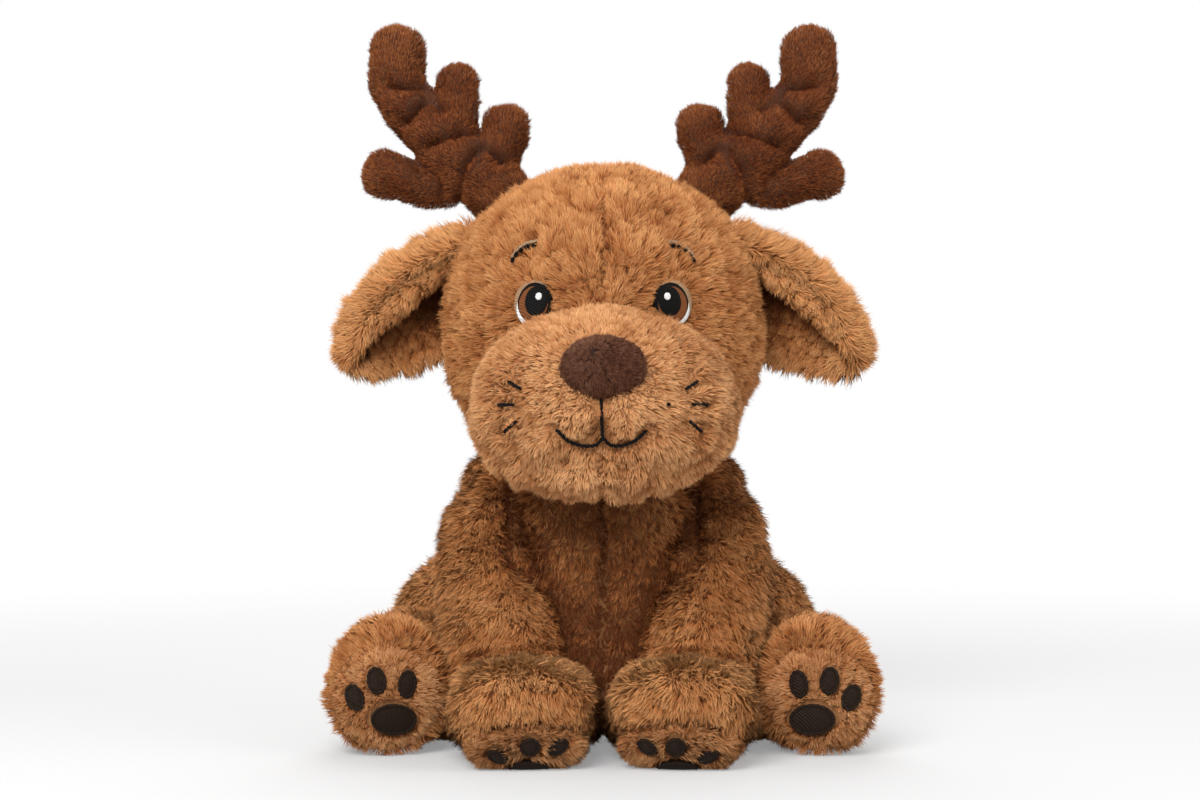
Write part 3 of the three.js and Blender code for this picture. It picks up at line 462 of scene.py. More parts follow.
def pile(
    name, surface, body, fabric, comb, length, count, seed,
    sign=1, lean=0.85, tuft=4.4, pull=0.4, stray=0.24, width=0.56, weight=1.0, tone=0.0,
):
    """Plush pile as slim kites of two triangles: each stands on the surface, leans along the comb and ends nearer
    to its tuft's centre, and each tuft strays from the comb in its own way. The light sees a blade partly as the
    surface under it. The map's first value is the blade's tone and its second runs from root to tip. Comb, length,
    weight and tone are values, or functions of p and n. Where sign is -1, the piece is the image of the left one."""
    seed = seed if sign > 0 else seed + 10
    mirror = np.array([sign, 1, 1])
    at = lambda value, p, n: value(p * mirror, n * mirror) if callable(value) else value
    rng = np.random.default_rng(seed)
    root, normal = roots_on(surface, count, rng, partial(at, weight))
    level = lambda v: v - normal * dot(v, normal)
    to_tuft, kin = tufts(root, tuft, seed + 1)
    to_lock, lock = tufts(root, LOCK * tuft, seed + 2)
    swirl = np.stack([ripple(root, SWIRL_SIZE, seed + k) for k in (11, 12, 13)], -1)
    way = unit(level(at(comb, root, normal) * mirror))
    way = unit(level(way + SWIRL * swirl + stray * (kin + 0.7 * lock)))
    gather = level(pull * (to_tuft + 0.3 * to_lock))
    spread = np.minimum(np.linalg.norm(level(to_tuft), axis=1) / (0.5 * tuft), 1.6)
    jitter = rng.normal(size=(count, 3))
    uneven = rng.uniform(*BLADE_LENGTHS, count)
    long = (at(length, root, normal) * uneven * (1.08 + 0.16 * kin[:, 0] - 0.12 * spread))[:, None]
    bend = lean * (1 + 0.3 * lock[:, 1:2])
    first = unit(normal + 0.45 * bend * way + 0.15 * jitter)
    second = unit(0.6 * normal + bend * way + 0.24 * jitter)
    middle = root + 0.5 * long * first + 0.3 * gather
    tip = middle + 0.5 * long * second + 0.7 * gather
    ahead = unit(tip - root)
    side = unit(np.cross(ahead, normal) + 0.3 * jitter)
    flat = rng.uniform(-0.8, 0.8, (count, 1))
    side = unit(side * np.cos(flat) + np.cross(ahead, side) * np.sin(flat))
    own = np.cross(side, ahead)
    outside = np.where(dot(own, normal) < 0, -1.0, 1.0)
    side, own = side * outside * width / 2, unit(own * outside)
    points = np.stack([root - ROOT_DEPTH * normal, middle - side, middle + side, tip], 1)
    points[..., 2] = np.maximum(points[..., 2], PILE_FLOOR)
    low, high = unit(normal + 0.35 * own), unit(0.7 * normal + 0.6 * own)
    light = np.stack([low, unit(low + high), unit(low + high), high], 1)
    faces = (np.arange(count)[:, None, None] * 4 + np.array([[0, 2, 1], [1, 2, 3]])).reshape(-1, 3)
    # The tone differs at random from tuft to tuft and lock to lock. Blades towards a tuft's edge are darker, painted
    # shade in the gaps between tufts, and the pull lifts the whole tone to make up for it.
    shade = 0.6 + 0.3 * pull + 0.12 * ripple(root, 34, seed + 3) + 0.12 * kin[:, 2] + 0.1 * lock[:, 2]
    shade = shade - 0.36 * pull * spread + 0.16 * rng.uniform(-1, 1, count) + at(tone, root, normal)
    uv = np.empty((count, 4, 2))
    uv[..., 0] = np.clip(shade, 0.02, 0.98)[:, None]
    uv[..., 1] = [0.02, 0.5, 0.5, 0.98]
    hair = uv.reshape(-1, 2), light.reshape(-1, 3)
    make_piece(name, (points.reshape(-1, 3), faces), body, fabric, hair=hair)


def dress(name, surface, body, fabric, comb, length, sign=1, fill=None, nodes=None, **look):
    """A cloth section and its pile. The surface is the left one's, and the section stands for its skin and its
    filling where no other nodes are given."""
    skin = surface if sign > 0 else mirrored(surface)
    make_piece(name, skin, body, fabric, nodes or (f"{name}_skin", f"{name}_filling"))
    pile(f"{name}_pile", skin, body, fabric, comb, length, sign=sign, **look)


# --- materials


class Wire:
    """A socket of a material. + - * on wires and numbers add Math nodes."""

    def __init__(self, nodes, socket):
        self.nodes, self.socket = nodes, socket

    def math(self, operation, *values):
        return self.nodes.add("Math", {"operation": operation}, dict(enumerate(values)))

    def __add__(self, other):
        return self.math("ADD", self, other)

    def __mul__(self, other):
        return self.math("MULTIPLY", self, other)

    __rmul__ = __mul__

    def __rsub__(self, other):
        return self.math("SUBTRACT", other, self)


class Nodes:
    """The node tree of a material or of the world, emptied."""

    def __init__(self, owner):
        owner.use_nodes = True
        self.owner, self.tree = owner, owner.node_tree
        self.tree.nodes.clear()

    def add(self, kind, settings=None, values=None, out=0):
        """One shader node of a kind: its settings first, then the values or links of its sockets."""
        node = self.tree.nodes.new("ShaderNode" + kind)
        for key, value in (settings or {}).items():
            if key == "ramp":
                for i, (place, colour) in enumerate(value):
                    stops = node.color_ramp.elements
                    stop = stops[i] if i < len(stops) else stops.new(place)
                    stop.position, stop.color = place, (*colour, 1)
            else:
                setattr(node, key, value)
        for key, value in (values or {}).items():
            if isinstance(value, Wire):
                self.tree.links.new(value.socket, node.inputs[key])
            else:
                node.inputs[key].default_value = value
        return Wire(self, node.outputs[out])

    def mix(self, factor, a, b, blend="MIX"):
        """One colour into another by a factor."""
        values = {0: factor} | {i: c if isinstance(c, Wire) else (*c, 1) for i, c in ((6, a), (7, b))}
        return self.add("Mix", {"data_type": "RGBA", "blend_type": blend}, values, 2)

    def cloth(self, colour, roughness, specular, bump_of, strength):
        """A matt shader whose colour varies and whose ridges follow a texture, led to the output."""
        bump = self.add("Bump", None, {"Height": bump_of, "Strength": strength, "Distance": 0.0004})
        values = {"Base Color": colour, "Roughness": roughness, "Specular IOR Level": specular, "Normal": bump}
        return self.finish(self.add("BsdfPrincipled", None, values))

    def looked_at(self):
        """1 where the camera looks, straight or by way of a mirror or glass, and 0 for all other light."""
        kinds = ("Camera", "Glossy", "Transmission")
        straight, mirror, glass = (self.add("LightPath", out=f"Is {kind} Ray") for kind in kinds)
        return straight + mirror + glass

    def finish(self, shader, kind="OutputMaterial"):
        """The shader led to the output."""
        out = self.tree.nodes.new("ShaderNode" + kind)
        self.tree.links.new(shader.socket, out.inputs[0])
        return self.owner


# Colours that the tone multiplies the hair by. The low tones hold darker tufts, and also the painted shade that the
# sections put in creases, seams and hollows.
SHADES = [(0.0, (0.16, 0.09, 0.055)), (0.35, (0.56, 0.43, 0.34)), (1.0, (1, 1, 1))]


def pile_material(name, root, body, tip, sheen=0.08):
    """Pile: darker at the foot, painted shade where the roots lie deep, its own colour along the hair and lighter at
    the tip, painted light on the tips, with tones from tuft to tuft. Light shines through a thin hair, so both faces
    of a blade are lit
    as the outer one: its normal is turned back where the renderer turned it round."""
    n = Nodes(bpy.data.materials.new(name))
    turned, normal = (n.add("NewGeometry", out=k) for k in ("Backfacing", "Normal"))
    outer = n.add("VectorMath", {"operation": "SCALE"}, {0: normal, 3: 1 - 2 * turned})
    uv = n.add("UVMap", {"uv_map": "pile"})
    tone, along = (n.add("SeparateXYZ", values={0: uv}, out=k) for k in (0, 1))
    hair = n.add("ValToRGB", {"ramp": [(0.0, root), (0.5, body), (1.0, tip)]}, {0: along})
    shade = n.add("ValToRGB", {"ramp": SHADES}, {0: tone})
    shader = n.add(
        "BsdfPrincipled", None,
        {"Base Color": n.mix(1.0, hair, shade, "MULTIPLY"), "Roughness": 0.75, "Specular IOR Level": 0.12,
         "Sheen Weight": sheen, "Sheen Roughness": 0.5, "Sheen Tint": (*tip, 1), "Normal": outer},
    )
    return n.finish(shader)


def backing_material(name, colour, light):
    """The knitted ground under the pile: dark, painted shade under the pile, blotched, with a fine loop bump."""
    n = Nodes(bpy.data.materials.new(name))
    place = n.add("TexCoord", out=3)
    blotch = n.add("TexNoise", None, {"Vector": place, "Scale": 90.0, "Detail": 3.0})
    loops = n.add("TexVoronoi", None, {"Vector": place, "Scale": 900.0})
    return n.cloth(n.mix(blotch, colour, light), 0.95, 0.5, loops, 0.5)


def thread_material(name, dark, light):
    """Satin-stitched thread: its tone changes from stitch to stitch, and the stitches stand up as fine ridges."""
    n = Nodes(bpy.data.materials.new(name))
    place = n.add("TexCoord", out=3)
    strand = n.add(
        "TexWave", {"wave_type": "BANDS", "bands_direction": "DIAGONAL"},
        {"Vector": place, "Scale": 420.0, "Distortion": 1.5, "Detail": 1.0},
    )
    fuzz = n.add("TexNoise", None, {"Vector": place, "Scale": 700.0, "Detail": 2.0})
    return n.cloth(n.mix(fuzz, dark, light), 0.6, 0.1, strand, 0.8)


Fabric = namedtuple("Fabric", "slot cloth hair", defaults=(None,))


def plush(name, ground, hair, sheen=0.08):
    """A fabric with a pile: the two tones of its ground, and the colours of its hair at the root, middle and tip."""
    cloth = backing_material(f"{name}_backing", *ground)
    return Fabric(f"{name}_plush", cloth, pile_material(f"{name}_pile", *hair, sheen))


def embroidery(name, dark, light, slot="eye_stitch"):
    """A fabric of stitched thread."""
    return Fabric(slot, thread_material(f"{name}_thread", dark, light))


# Each ground is darker than its hair, and each hair's root colour is darker and its tip colour lighter than its
# middle: painted shade under the pile and at the roots, painted light on the tips.
BODY = plush(
    "body", ((0.22, 0.085, 0.028), (0.3, 0.12, 0.04)), ((0.34, 0.112, 0.032), (0.56, 0.21, 0.066), (0.85, 0.44, 0.18))
)
FACE = plush(
    "face", ((0.32, 0.14, 0.05), (0.42, 0.19, 0.07)), ((0.42, 0.155, 0.052), (0.66, 0.28, 0.104), (0.88, 0.51, 0.245))
)
ANTLER = plush(
    "antler", ((0.06, 0.02, 0.007), (0.09, 0.03, 0.01)),
    ((0.06, 0.015, 0.005), (0.17, 0.047, 0.013), (0.42, 0.15, 0.05)), sheen=0.3,
)
NOSE = plush(
    "nose", ((0.012, 0.005, 0.003), (0.025, 0.012, 0.008)),
    ((0.02, 0.008, 0.005), (0.075, 0.027, 0.014), (0.26, 0.12, 0.07)),
)
PAD = embroidery("pad", (0.01, 0.0055, 0.0035), (0.028, 0.016, 0.01), "pad_stitch")
BLACK = embroidery("black", (0.0015, 0.0015, 0.0015), (0.005, 0.0045, 0.004))
IRIS = embroidery("iris", (0.13, 0.04, 0.013), (0.24, 0.085, 0.03))
WHITE = embroidery("white", (0.72, 0.71, 0.69), (0.86, 0.85, 0.83))
RIM = embroidery("rim", (0.3, 0.18, 0.1), (0.42, 0.27, 0.16))


# --- seams and threads as lines


def line_distance(p, line):
    """From each point to the nearest place on a polyline."""
    line = np.asarray(line, float)
    best = np.full(len(p), np.inf)
    for a, b in zip(line[:-1], line[1:]):
        along = np.clip(((p - a) @ (b - a)) / max(((b - a) ** 2).sum(), 1e-9), 0, 1)
        best = np.minimum(best, np.linalg.norm(p - a - along[:, None] * (b - a), axis=1))
    return best


def nearest(p, lines):
    """From each point to the nearest of several polylines."""
    return np.min([line_distance(p, line) for line in lines], axis=0)


def draped(front, flat_points, lift=0.0, steps=24):
    """A smooth line through points given across and up, laid on a front and lifted off it."""
    flat = spline(np.array(flat_points, float), np.linspace(0, 1, steps))
    point, normal = front(flat[:, 0], flat[:, 1])
    return point + normal * lift


def joined(surfaces):
    """Several surfaces as one."""
    starts = np.cumsum([0] + [len(points) for points, _ in surfaces[:-1]])
    points = np.vstack([points for points, _ in surfaces])
    return points, np.vstack([faces + start for (_, faces), start in zip(surfaces, starts)])


def tube(rings, looped=False):
    """Rings of points joined into a closed skin: the last ring meets the first, or each end has a flat cap."""
    rows, columns = rings.shape[:2]
    i, j = np.meshgrid(np.arange(rows if looped else rows - 1), np.arange(columns), indexing="ij")
    a, b = i * columns + j, i * columns + (j + 1) % columns
    c, d = (i + 1) % rows * columns + j, (i + 1) % rows * columns + (j + 1) % columns
    faces = [np.stack([a, c, d, a, d, b], -1).reshape(-1, 3)]
    if not looped:
        cap = np.arange(1, columns - 1)
        start = np.stack([np.zeros_like(cap), cap, cap + 1], -1)
        faces += [start, (rows - 1) * columns + start[:, ::-1]]
    points = rings.reshape(-1, 3)
    return points, outward(points - points.mean(0), np.vstack(faces))


def thread(line, normal, radius, twist=2.4, sides=8, looped=False):
    """A stitched thread: rings round a smooth line whose radius swells once for each stitch. Its ends are round."""
    line = np.asarray(line, float)
    fine = line if looped else spline(line, np.linspace(0, 1, 8 * len(line)))
    ahead = unit(np.roll(fine, -1, 0) - np.roll(fine, 1, 0)) if looped else unit(np.gradient(fine, axis=0))
    up = unit(normal - ahead * dot(ahead, np.broadcast_to(normal, ahead.shape)))
    across = np.cross(ahead, up)
    run = np.concatenate([[0], np.cumsum(np.linalg.norm(np.diff(fine, axis=0), axis=1))])
    ends = np.ones_like(run) if looped else np.sqrt(np.clip(np.minimum(run, run[-1] - run) / radius, 0.05, 1))
    turn = np.linspace(0, 2 * np.pi, sides, endpoint=False)
    ring = (radius * ends)[:, None] * (1 + 0.18 * np.sin(2 * np.pi * run[:, None] / twist + turn[None]))
    wide, high = ring * np.cos(turn), ring * np.sin(turn)
    return tube(fine[:, None] + wide[..., None] * across[:, None] + high[..., None] * up[:, None], looped)


def stitches(line, normal, radius, count, gap):
    """A line as separate stitches: equal lengths of it, each a short thread, with a share of each left open."""
    steps = [(k + np.linspace(gap / 2, 1 - gap / 2, 4)) / count for k in range(count)]
    return joined([thread(spline(line, t), normal, radius) for t in steps])

# --- the frame of the picture

AIR_FELT = 0.52  # the air's light on the toy; the camera sees it as 1
FLOOR_TONE, FLOOR_GLOW = 0.5, 0.27  # the floor's own tone, and what it adds for the camera
FLOOR_FADE = (0.35, 1.1)  # metres from the toy over which the floor turns to plain white

scene = bpy.context.scene
scene.view_settings.view_transform = "Standard"
camera_data = bpy.data.cameras.new("camera")
camera_data.lens, camera_data.sensor_width = 67.9, 36
camera_data.shift_x = -0.0025
camera = bpy.data.objects.new("camera", camera_data)
camera.location = (0, -1.2, 0.18)
camera.rotation_euler = (math.pi / 2, 0, 0)
scene.collection.objects.link(camera)
scene.camera = camera


def lamp(name, place, size, power, aim=(0, 0, 0.2)):
    """A square softbox at a place, turned to a point."""
    data = bpy.data.lights.new(name, "AREA")
    data.energy, data.size = power, size
    light = bpy.data.objects.new(name, data)
    light.location = place
    light.rotation_euler = (Vector(aim) - Vector(place)).to_track_quat("-Z", "Y").to_euler()
    scene.collection.objects.link(light)


def build_stage():
    """White air, a white floor that keeps the shadow, and three soft lamps."""
    white = (1, 1, 1, 1)
    n = Nodes(bpy.data.worlds.new("air"))
    felt, seen = (n.add("Background", None, {0: white, 1: strength}) for strength in (AIR_FELT, 1.0))
    air = n.add("MixShader", None, {0: n.looked_at(), 1: felt, 2: seen})
    scene.world = n.finish(air, "OutputWorld")

    n = Nodes(bpy.data.materials.new("floor_white"))
    place = n.add("TexCoord", out=3)
    away = n.add("VectorMath", {"operation": "LENGTH"}, {0: place}, 1)
    fade = {0: away, 1: FLOOR_FADE[0], 2: FLOOR_FADE[1]}
    far = n.add("MapRange", {"interpolation_type": "SMOOTHSTEP"}, fade)
    diffuse = n.add("BsdfDiffuse", None, {0: (FLOOR_TONE, FLOOR_TONE, FLOOR_TONE, 1)})
    glow = n.add("Emission", None, {0: white, 1: n.looked_at() * FLOOR_GLOW})
    near = n.add("AddShader", None, {0: diffuse, 1: glow})
    blank = n.add("Emission", None, {0: white})
    material = n.finish(n.add("MixShader", None, {0: far * n.looked_at(), 1: near, 2: blank}))
    mesh = bpy.data.meshes.new("floor")
    mesh.from_pydata([(-6, -4, 0), (6, -4, 0), (6, 9, 0), (-6, 9, 0)], [], [(0, 1, 2, 3)])
    mesh.materials.append(material)
    floor = bpy.data.objects.new("floor", mesh)
    scene.collection.objects.link(floor)
    lamp("softbox_front", (-0.35, -1.2, 0.95), 0.8, 21)
    lamp("softbox_side", (1.1, -0.7, 0.9), 0.7, 5)
    lamp("softbox_back", (0, 0.9, 1.2), 1.1, 11)


# --- the sections

DOWN = np.array([0.0, -0.15, -1.0])  # the pile falls straight down and a little forwards


def lumps(p, size, height, seed):
    """Stuffing under the cloth: two ripples, one half as long and half as high."""
    return height * (ripple(p, size, seed) + 0.5 * ripple(p, size / 2, seed + 1))


def groove(distance, width, depth):
    """A seam: a furrow that falls off as a bell curve."""
    return -depth * bell(distance, width)


def seam_pile(distance, length):
    """Pile is caught in a seam: short on it, full six millimetres off it."""
    return length * (0.45 + 0.55 * smooth_step(0.5, 6, distance))


def underneath(p, n):
    """Where a section rests on the floor."""
    return (n[:, 2] < -0.6) & (p[:, 2] < 6)


def build_torso():
    """The torso, with a seam down its chest and back and fuller pile at the neck, and the wad in the neck."""
    across = lambda p: np.abs(p[:, 0])
    in_arms = lambda p: in_sleeve(np.stack([across(p), p[:, 1], p[:, 2]], 1))
    chest_seam = lambda p: np.where(p[:, 1] < 10, across(p), NO_SEAM)

    def relief(p, n):
        puckers = 0.7 * ripple(p * (0.3, 1, 1), 9, 6) * bell(across(p), 14)
        return lumps(p, 42, 1.1, 5) + groove(across(p), 3.2, 3.0) + puckers

    def weight(p, n):
        at_thigh = np.hypot(across(p) - THIGH_PLACE[0], p[:, 1] - THIGH_PLACE[1]) < 30
        covered = (in_arms(p) > 6) | (at_thigh & (p[:, 2] < 88))
        hidden = (inside(HEAD, p) > 3) | underneath(p, n) | (in_arms(p) > 22)
        return np.where(hidden, 0, np.where(covered, 0.4, 1.0))

    def between(p):
        """1 on the chest between the arms."""
        return smooth_step(38, 24, across(p)) * smooth_step(0, -20, p[:, 1]) * smooth_step(132, 112, p[:, 2])

    def length(p, n):
        return seam_pile(across(p), 8.2) * (1 - 0.3 * between(p)) + 3.5 * smooth_step(118, 138, p[:, 2])

    def tone(p, n):
        # Painted shade: darker on the chest between the arms, more so towards the bottom, where the arms meet the
        # torso, and along the chest seam.
        chest = -between(p) * (0.22 + 0.38 * smooth_step(100, 60, p[:, 2]))
        return chest - 0.3 * bell(in_arms(p), 5) - 0.7 * bell(chest_seam(p), 2.4)

    def comb(p, n):
        up = smooth_step(122, 136, p[:, 2])[:, None]
        return (1 - up) * DOWN + up * unit(p * (1, 1, 0) + (0, 0, 50))

    def neck_point(u, v):
        out = np.sin(np.pi * v)
        ball = np.stack([out * np.cos(2 * np.pi * u), out * np.sin(2 * np.pi * u), -np.cos(np.pi * v)], -1)
        return NECK_CENTRE + (NECK_RADIUS - 3) * ball

    skin = on_floor(shaped(grown(ring_surface(stuffed_form(TORSO)), -CLOTH_DEPTH), relief))
    dress("torso", skin, "torso", BODY, comb, length, fill=0.8, nodes=("torso_skin", "torso_filling", "pellet_bag"),
          count=70000, seed=100, weight=weight, tone=tone)
    dress("neck", ring_surface(neck_point, 60, 40), "neck", BODY, DOWN, 10.0, fill=0.7, nodes=("neck_filling",),
          count=6000, seed=110, weight=lambda p, n: (p[:, 2] > 134) & (p[:, 2] < 158))


def build_head():
    """The head and its pile, which runs from the face over the crown and down the back, lies back round the eyes
    and lies over their inner edges."""
    seam = lambda p: np.where((p[:, 2] > 200) & (p[:, 2] < 292), np.abs(p[:, 0]), NO_SEAM)
    folds = lambda p: ripple(p * (1, 1, 0.7), 15, 18) * smooth_step(-20, -50, p[:, 1])
    eyes = [head_front(*EYE_PLACE)[0] * (sign, 1, 1) for _, sign in SIDES]
    brows = [draped(head_front, [(sign * x, z) for x, z in BROW_LINE]) for _, sign in SIDES]

    def relief(p, n):
        return lumps(p, 34, 0.9, 15) + groove(seam(p), 3.6, 1.8) * smooth_step(292, 270, p[:, 2]) + folds(p)

    def eye_ring(p):
        """How far points lie from the nearer eye's middle, 1 on its edge."""
        half = np.array([EYE_SIZE[0] / 2, 9, EYE_SIZE[1] / 2])
        return np.min([np.linalg.norm((p - e) / half, axis=1) for e in eyes], axis=0)

    def weight(p, n):
        hidden = inside(MUZZLE, p) > 3
        hidden |= (p[:, 2] < 153) & (np.hypot(p[:, 0], p[:, 1] - NECK_CENTRE[1]) < 26)
        hidden |= eye_ring(p) < 1.0
        return np.where(hidden, 0, 1 - 0.95 * bell(nearest(p, brows), 1.9))

    def length(p, n):
        inner = np.max([smooth_step(1, 7, -np.sign(e[0]) * (p - e)[:, 0]) for e in eyes], axis=0)
        round_eye = np.maximum(0.5 + 0.5 * smooth_step(1.0, 1.7, eye_ring(p)), 0.85 * inner)
        hanging = 1 + 0.8 * smooth_step(180, 160, p[:, 2])
        return seam_pile(seam(p), 7.8) * hanging * round_eye * (0.5 + 0.5 * smooth_step(0.5, 5, nearest(p, brows)))

    def comb(p, n):
        behind = smooth_step(-40, 75, p[:, 1])[:, None]
        way = (1 - behind) * unit(p - (0, -70, 214)) + behind * np.array([0, 0.4, -1.0])
        for e in eyes:
            off = p - e
            near = bell(np.linalg.norm(off, axis=1), 17)[:, None]
            inner = smooth_step(2, 8, -np.sign(e[0]) * off[:, 0])[:, None]
            way = way + near * (2.4 * (1 - inner) * unit(off) + inner * (1.8 * np.sign(e[0]), 0, -0.2))
        return way

    def tone(p, n):
        # Painted light and shade: lighter on the raised folds and darker in the sunk ones, painted shade along the
        # seam, and painted light on the top of the head.
        return 0.14 * folds(p) - 0.16 * bell(seam(p), 2.5) + 0.16 * smooth_step(262, 296, p[:, 2])

    skin = shaped(grown(ring_surface(stuffed_form(HEAD), 124, 92), -CLOTH_DEPTH), relief)
    make_piece("head", skin, "head", BODY, ("head_skin", "head_filling"))
    part = -8  # the pile is in two pieces, before and behind this
    front = lambda p, n: weight(p, n) * (p[:, 1] < part)
    back = lambda p, n: weight(p, n) * (p[:, 1] >= part)
    for name, count, seed, here in (("front", 90000, 200, front), ("back", 47000, 210, back)):
        pile(f"head_pile_{name}", skin, "head", BODY, comb, length, count, seed,
             tuft=5, pull=0.52, stray=0.34, weight=here, tone=tone)


def build_muzzle():
    """The muzzle: lips that swell on both sides of the mouth, a dimple at each whisker with folds that fan out
    from it, and pile that spreads from the nose. The mouth, the whiskers and the freckles are threads laid on it."""
    mouth = [draped(muzzle_front, line) for line in MOUTH_LINES]
    whiskers = [draped(muzzle_front, line, steps=6) for line in WHISKER_LINES]
    chin = lambda p: np.where(p[:, 2] < 158, np.abs(p[:, 0]), NO_SEAM)
    stitched = lambda p: np.minimum(nearest(p, mouth), nearest(p, whiskers))
    nose = np.array(NOSE_PLACE, float)

    def features(p):
        x, z = np.abs(p[:, 0]), p[:, 2]
        front = smooth_step(60, 85, -p[:, 1])
        lips = 3.4 * np.exp(-(((x - 15) / 13) ** 2 + ((z - 170) / 10) ** 2))
        chin_pad = 2.2 * np.exp(-((x / 22) ** 2 + ((z - 147) / 9) ** 2))
        reach, turn = np.hypot(x - 34, z - 178), np.arctan2(z - 178, x - 34)
        fan = -3.0 * np.cos(turn / math.radians(34) * 2 * np.pi) * bell(reach - 13, 7)
        folds = np.where(np.abs(turn) < 1.3, fan, 0)
        dimples = -3.2 * bell(nearest(p, whiskers), 4.5)
        puckers = 0.8 * np.cos(z * 1.5) * bell(chin(p), 9)
        mound = 3.2 * smooth_step(33, 18, np.hypot(x / 1.15, z - 195))
        tucks = 1.6 * ripple(p, 16, 28) * smooth_step(192, 176, z)
        rise = front * (lips + chin_pad + folds + mound + tucks) + puckers + dimples
        return rise + groove(nearest(p, mouth), 4.0, 2.6) + groove(chin(p), 3, 1.8)

    def weight(p, n):
        hidden = inside(HEAD, p) > 4
        hidden |= (((p - nose) / (np.array([NOSE_SIZE[0], NOSE_SIZE[2] + 8, NOSE_SIZE[1]]) / 2)) ** 2).sum(1) < 0.6
        return np.where(hidden, 0, 1 - 0.98 * bell(stitched(p), 1.8)) * np.where(p[:, 1] < -40, 1, 0.5)

    def length(p, n):
        from_nose = np.linalg.norm(p - nose, axis=1)
        long = 5.8 * (0.7 + 0.3 * smooth_step(18, 50, from_nose)) * (0.36 + 0.64 * smooth_step(1, 7, stitched(p)))
        return long * (0.6 + 0.4 * smooth_step(0.5, 5, chin(p)))

    def comb(p, n):
        off_line = bell(stitched(p), 4)[:, None]
        step = 0.4
        away = np.stack([stitched(p + step * e) - stitched(p - step * e) for e in np.eye(3)], -1)
        return unit(p - nose) + 0.25 * DOWN + 2.5 * off_line * away / (2 * step)

    def tone(p, n):
        # Painted light and shade that follow the relief: lighter on the swellings and darker in the dimples and folds,
        # with painted shade along the mouth and whisker threads. Darker towards the top.
        folds = 0.07 + 0.14 * np.clip(features(p), -3, 1) - 0.3 * bell(stitched(p), 4.5)
        return folds - 0.15 * smooth_step(190, 220, p[:, 2])

    skin = grown(ring_surface(stuffed_form(MUZZLE), 120, 88), -3.4)
    skin = shaped(skin, lambda p, n: lumps(p, 40, 0.7, 25) + features(p))
    dress("muzzle", skin, "head", FACE, comb, length, fill=0.9, count=96000, seed=300,
          tuft=4.0, pull=0.38, stray=0.26, width=0.48, weight=weight, tone=tone)
    for i, line in enumerate(MOUTH_LINES):
        laid = draped(muzzle_front, line, lift=-0.1)
        make_piece(f"mouth_{i + 1}", thread(laid, [0, -1.0, 0.1], 0.8), "head", BLACK)
    for i, line in enumerate(WHISKER_LINES):
        laid = draped(muzzle_front, line, lift=-1.2, steps=6)
        out = muzzle_front(*np.mean(line, axis=0))[1]
        make_piece(f"whisker_{i + 1}", thread(laid, out, 0.8), "head", BLACK)
    for i, (x, z) in enumerate(FRECKLES):
        laid = draped(muzzle_front, [(x - 0.8, z + 0.6), (x + 0.8, z - 0.6)], lift=0.3, steps=3)
        make_piece(f"freckle_{i + 1}", thread(laid, muzzle_front(x, z)[1], 1.1), "head", BLACK)


def facing(way):
    """Across, up and out on a face that looks along way."""
    out = unit(np.array(way, float))
    up = unit(np.array([0, 0, 1.0]) - out * out[2])
    return np.cross(up, out), up, out


def leaned(across, up, lean):
    """Two ways square to each other, turned in their plane."""
    return across * math.cos(lean) + up * math.sin(lean), up * math.cos(lean) - across * math.sin(lean)


def lens_surface(centre, way, size, around=48, along=32, tilt=0.0):
    """A flattened ball: wide across, tall up and thin outwards."""
    across, up, out = facing(way)
    wide, tall = leaned(across, up, tilt)

    def ring_point(u, v):
        r, h = np.sin(np.pi * v) / 2, -np.cos(np.pi * v) / 2
        a, b = (r * np.cos(2 * np.pi * u))[..., None], (r * np.sin(2 * np.pi * u))[..., None]
        return np.array(centre) + wide * a * size[0] + tall * b * size[1] + out * h[..., None] * size[2]

    return ring_surface(ring_point, around, along)


def build_nose():
    """A plush button: a flattened ball whose pile spreads from a point above its middle."""
    place = np.array(NOSE_PLACE, float)
    skin = lens_surface(place, NOSE_WAY, (NOSE_SIZE[0] - 4, NOSE_SIZE[1] - 4, NOSE_SIZE[2] - 3))
    make_piece("nose_ball", skin, "head", NOSE, ("nose",))
    comb = lambda p, n: (p - place - (-5, -14, 8)) * (1, 0.3, 1)
    pile("nose_pile", skin, "head", NOSE, comb, 3.4, count=15000, seed=400,
         lean=0.9, tuft=2.4, pull=0.25, stray=0.2, width=0.38, weight=lambda p, n: p[:, 1] < place[1] + 5)


def patch_on(front, centre, half, top, thick, lean):
    """A stitched oval laid on a front and leaning by an angle: a flattened ball with a nearly flat top, whose top
    lies that far off the front."""

    def ring_point(u, v):
        r = np.sin(np.pi * v) ** 0.55
        a, b = half[0] * r * np.cos(2 * np.pi * u), half[1] * r * np.sin(2 * np.pi * u)
        point, normal = front(
            centre[0] + a * math.cos(lean) - b * math.sin(lean), centre[1] + a * math.sin(lean) + b * math.cos(lean)
        )
        return point + normal * (top - thick * (1 + np.cos(np.pi * v)) / 2)[..., None]

    return ring_surface(ring_point, 48, 14)


EYE_LEAN = 0.16
EYE_LAYERS = [  # part, thread, middle across and up, half width and height, top, thickness
    ("rim", RIM, (35.5, 229.0), (9.9, 11.8), 0.9, 4.6),
    ("outline", BLACK, (34.8, 228.2), (9.6, 11.5), 1.2, 4.6),
    ("white", WHITE, (35.6, 225.9), (7.5, 8.8), 1.5, 1.6),
    ("edge", BLACK, (34.1, 228.4), (8.2, 10.3), 1.8, 1.6),
    ("iris", IRIS, (34.3, 227.8), (7.3, 9.3), 2.1, 1.6),
    ("pupil", BLACK, (33.0, 229.0), (5.8, 7.8), 2.4, 1.6),
    ("glint", WHITE, (31.4, 231.6), (1.6, 1.9), 2.8, 1.2),
]


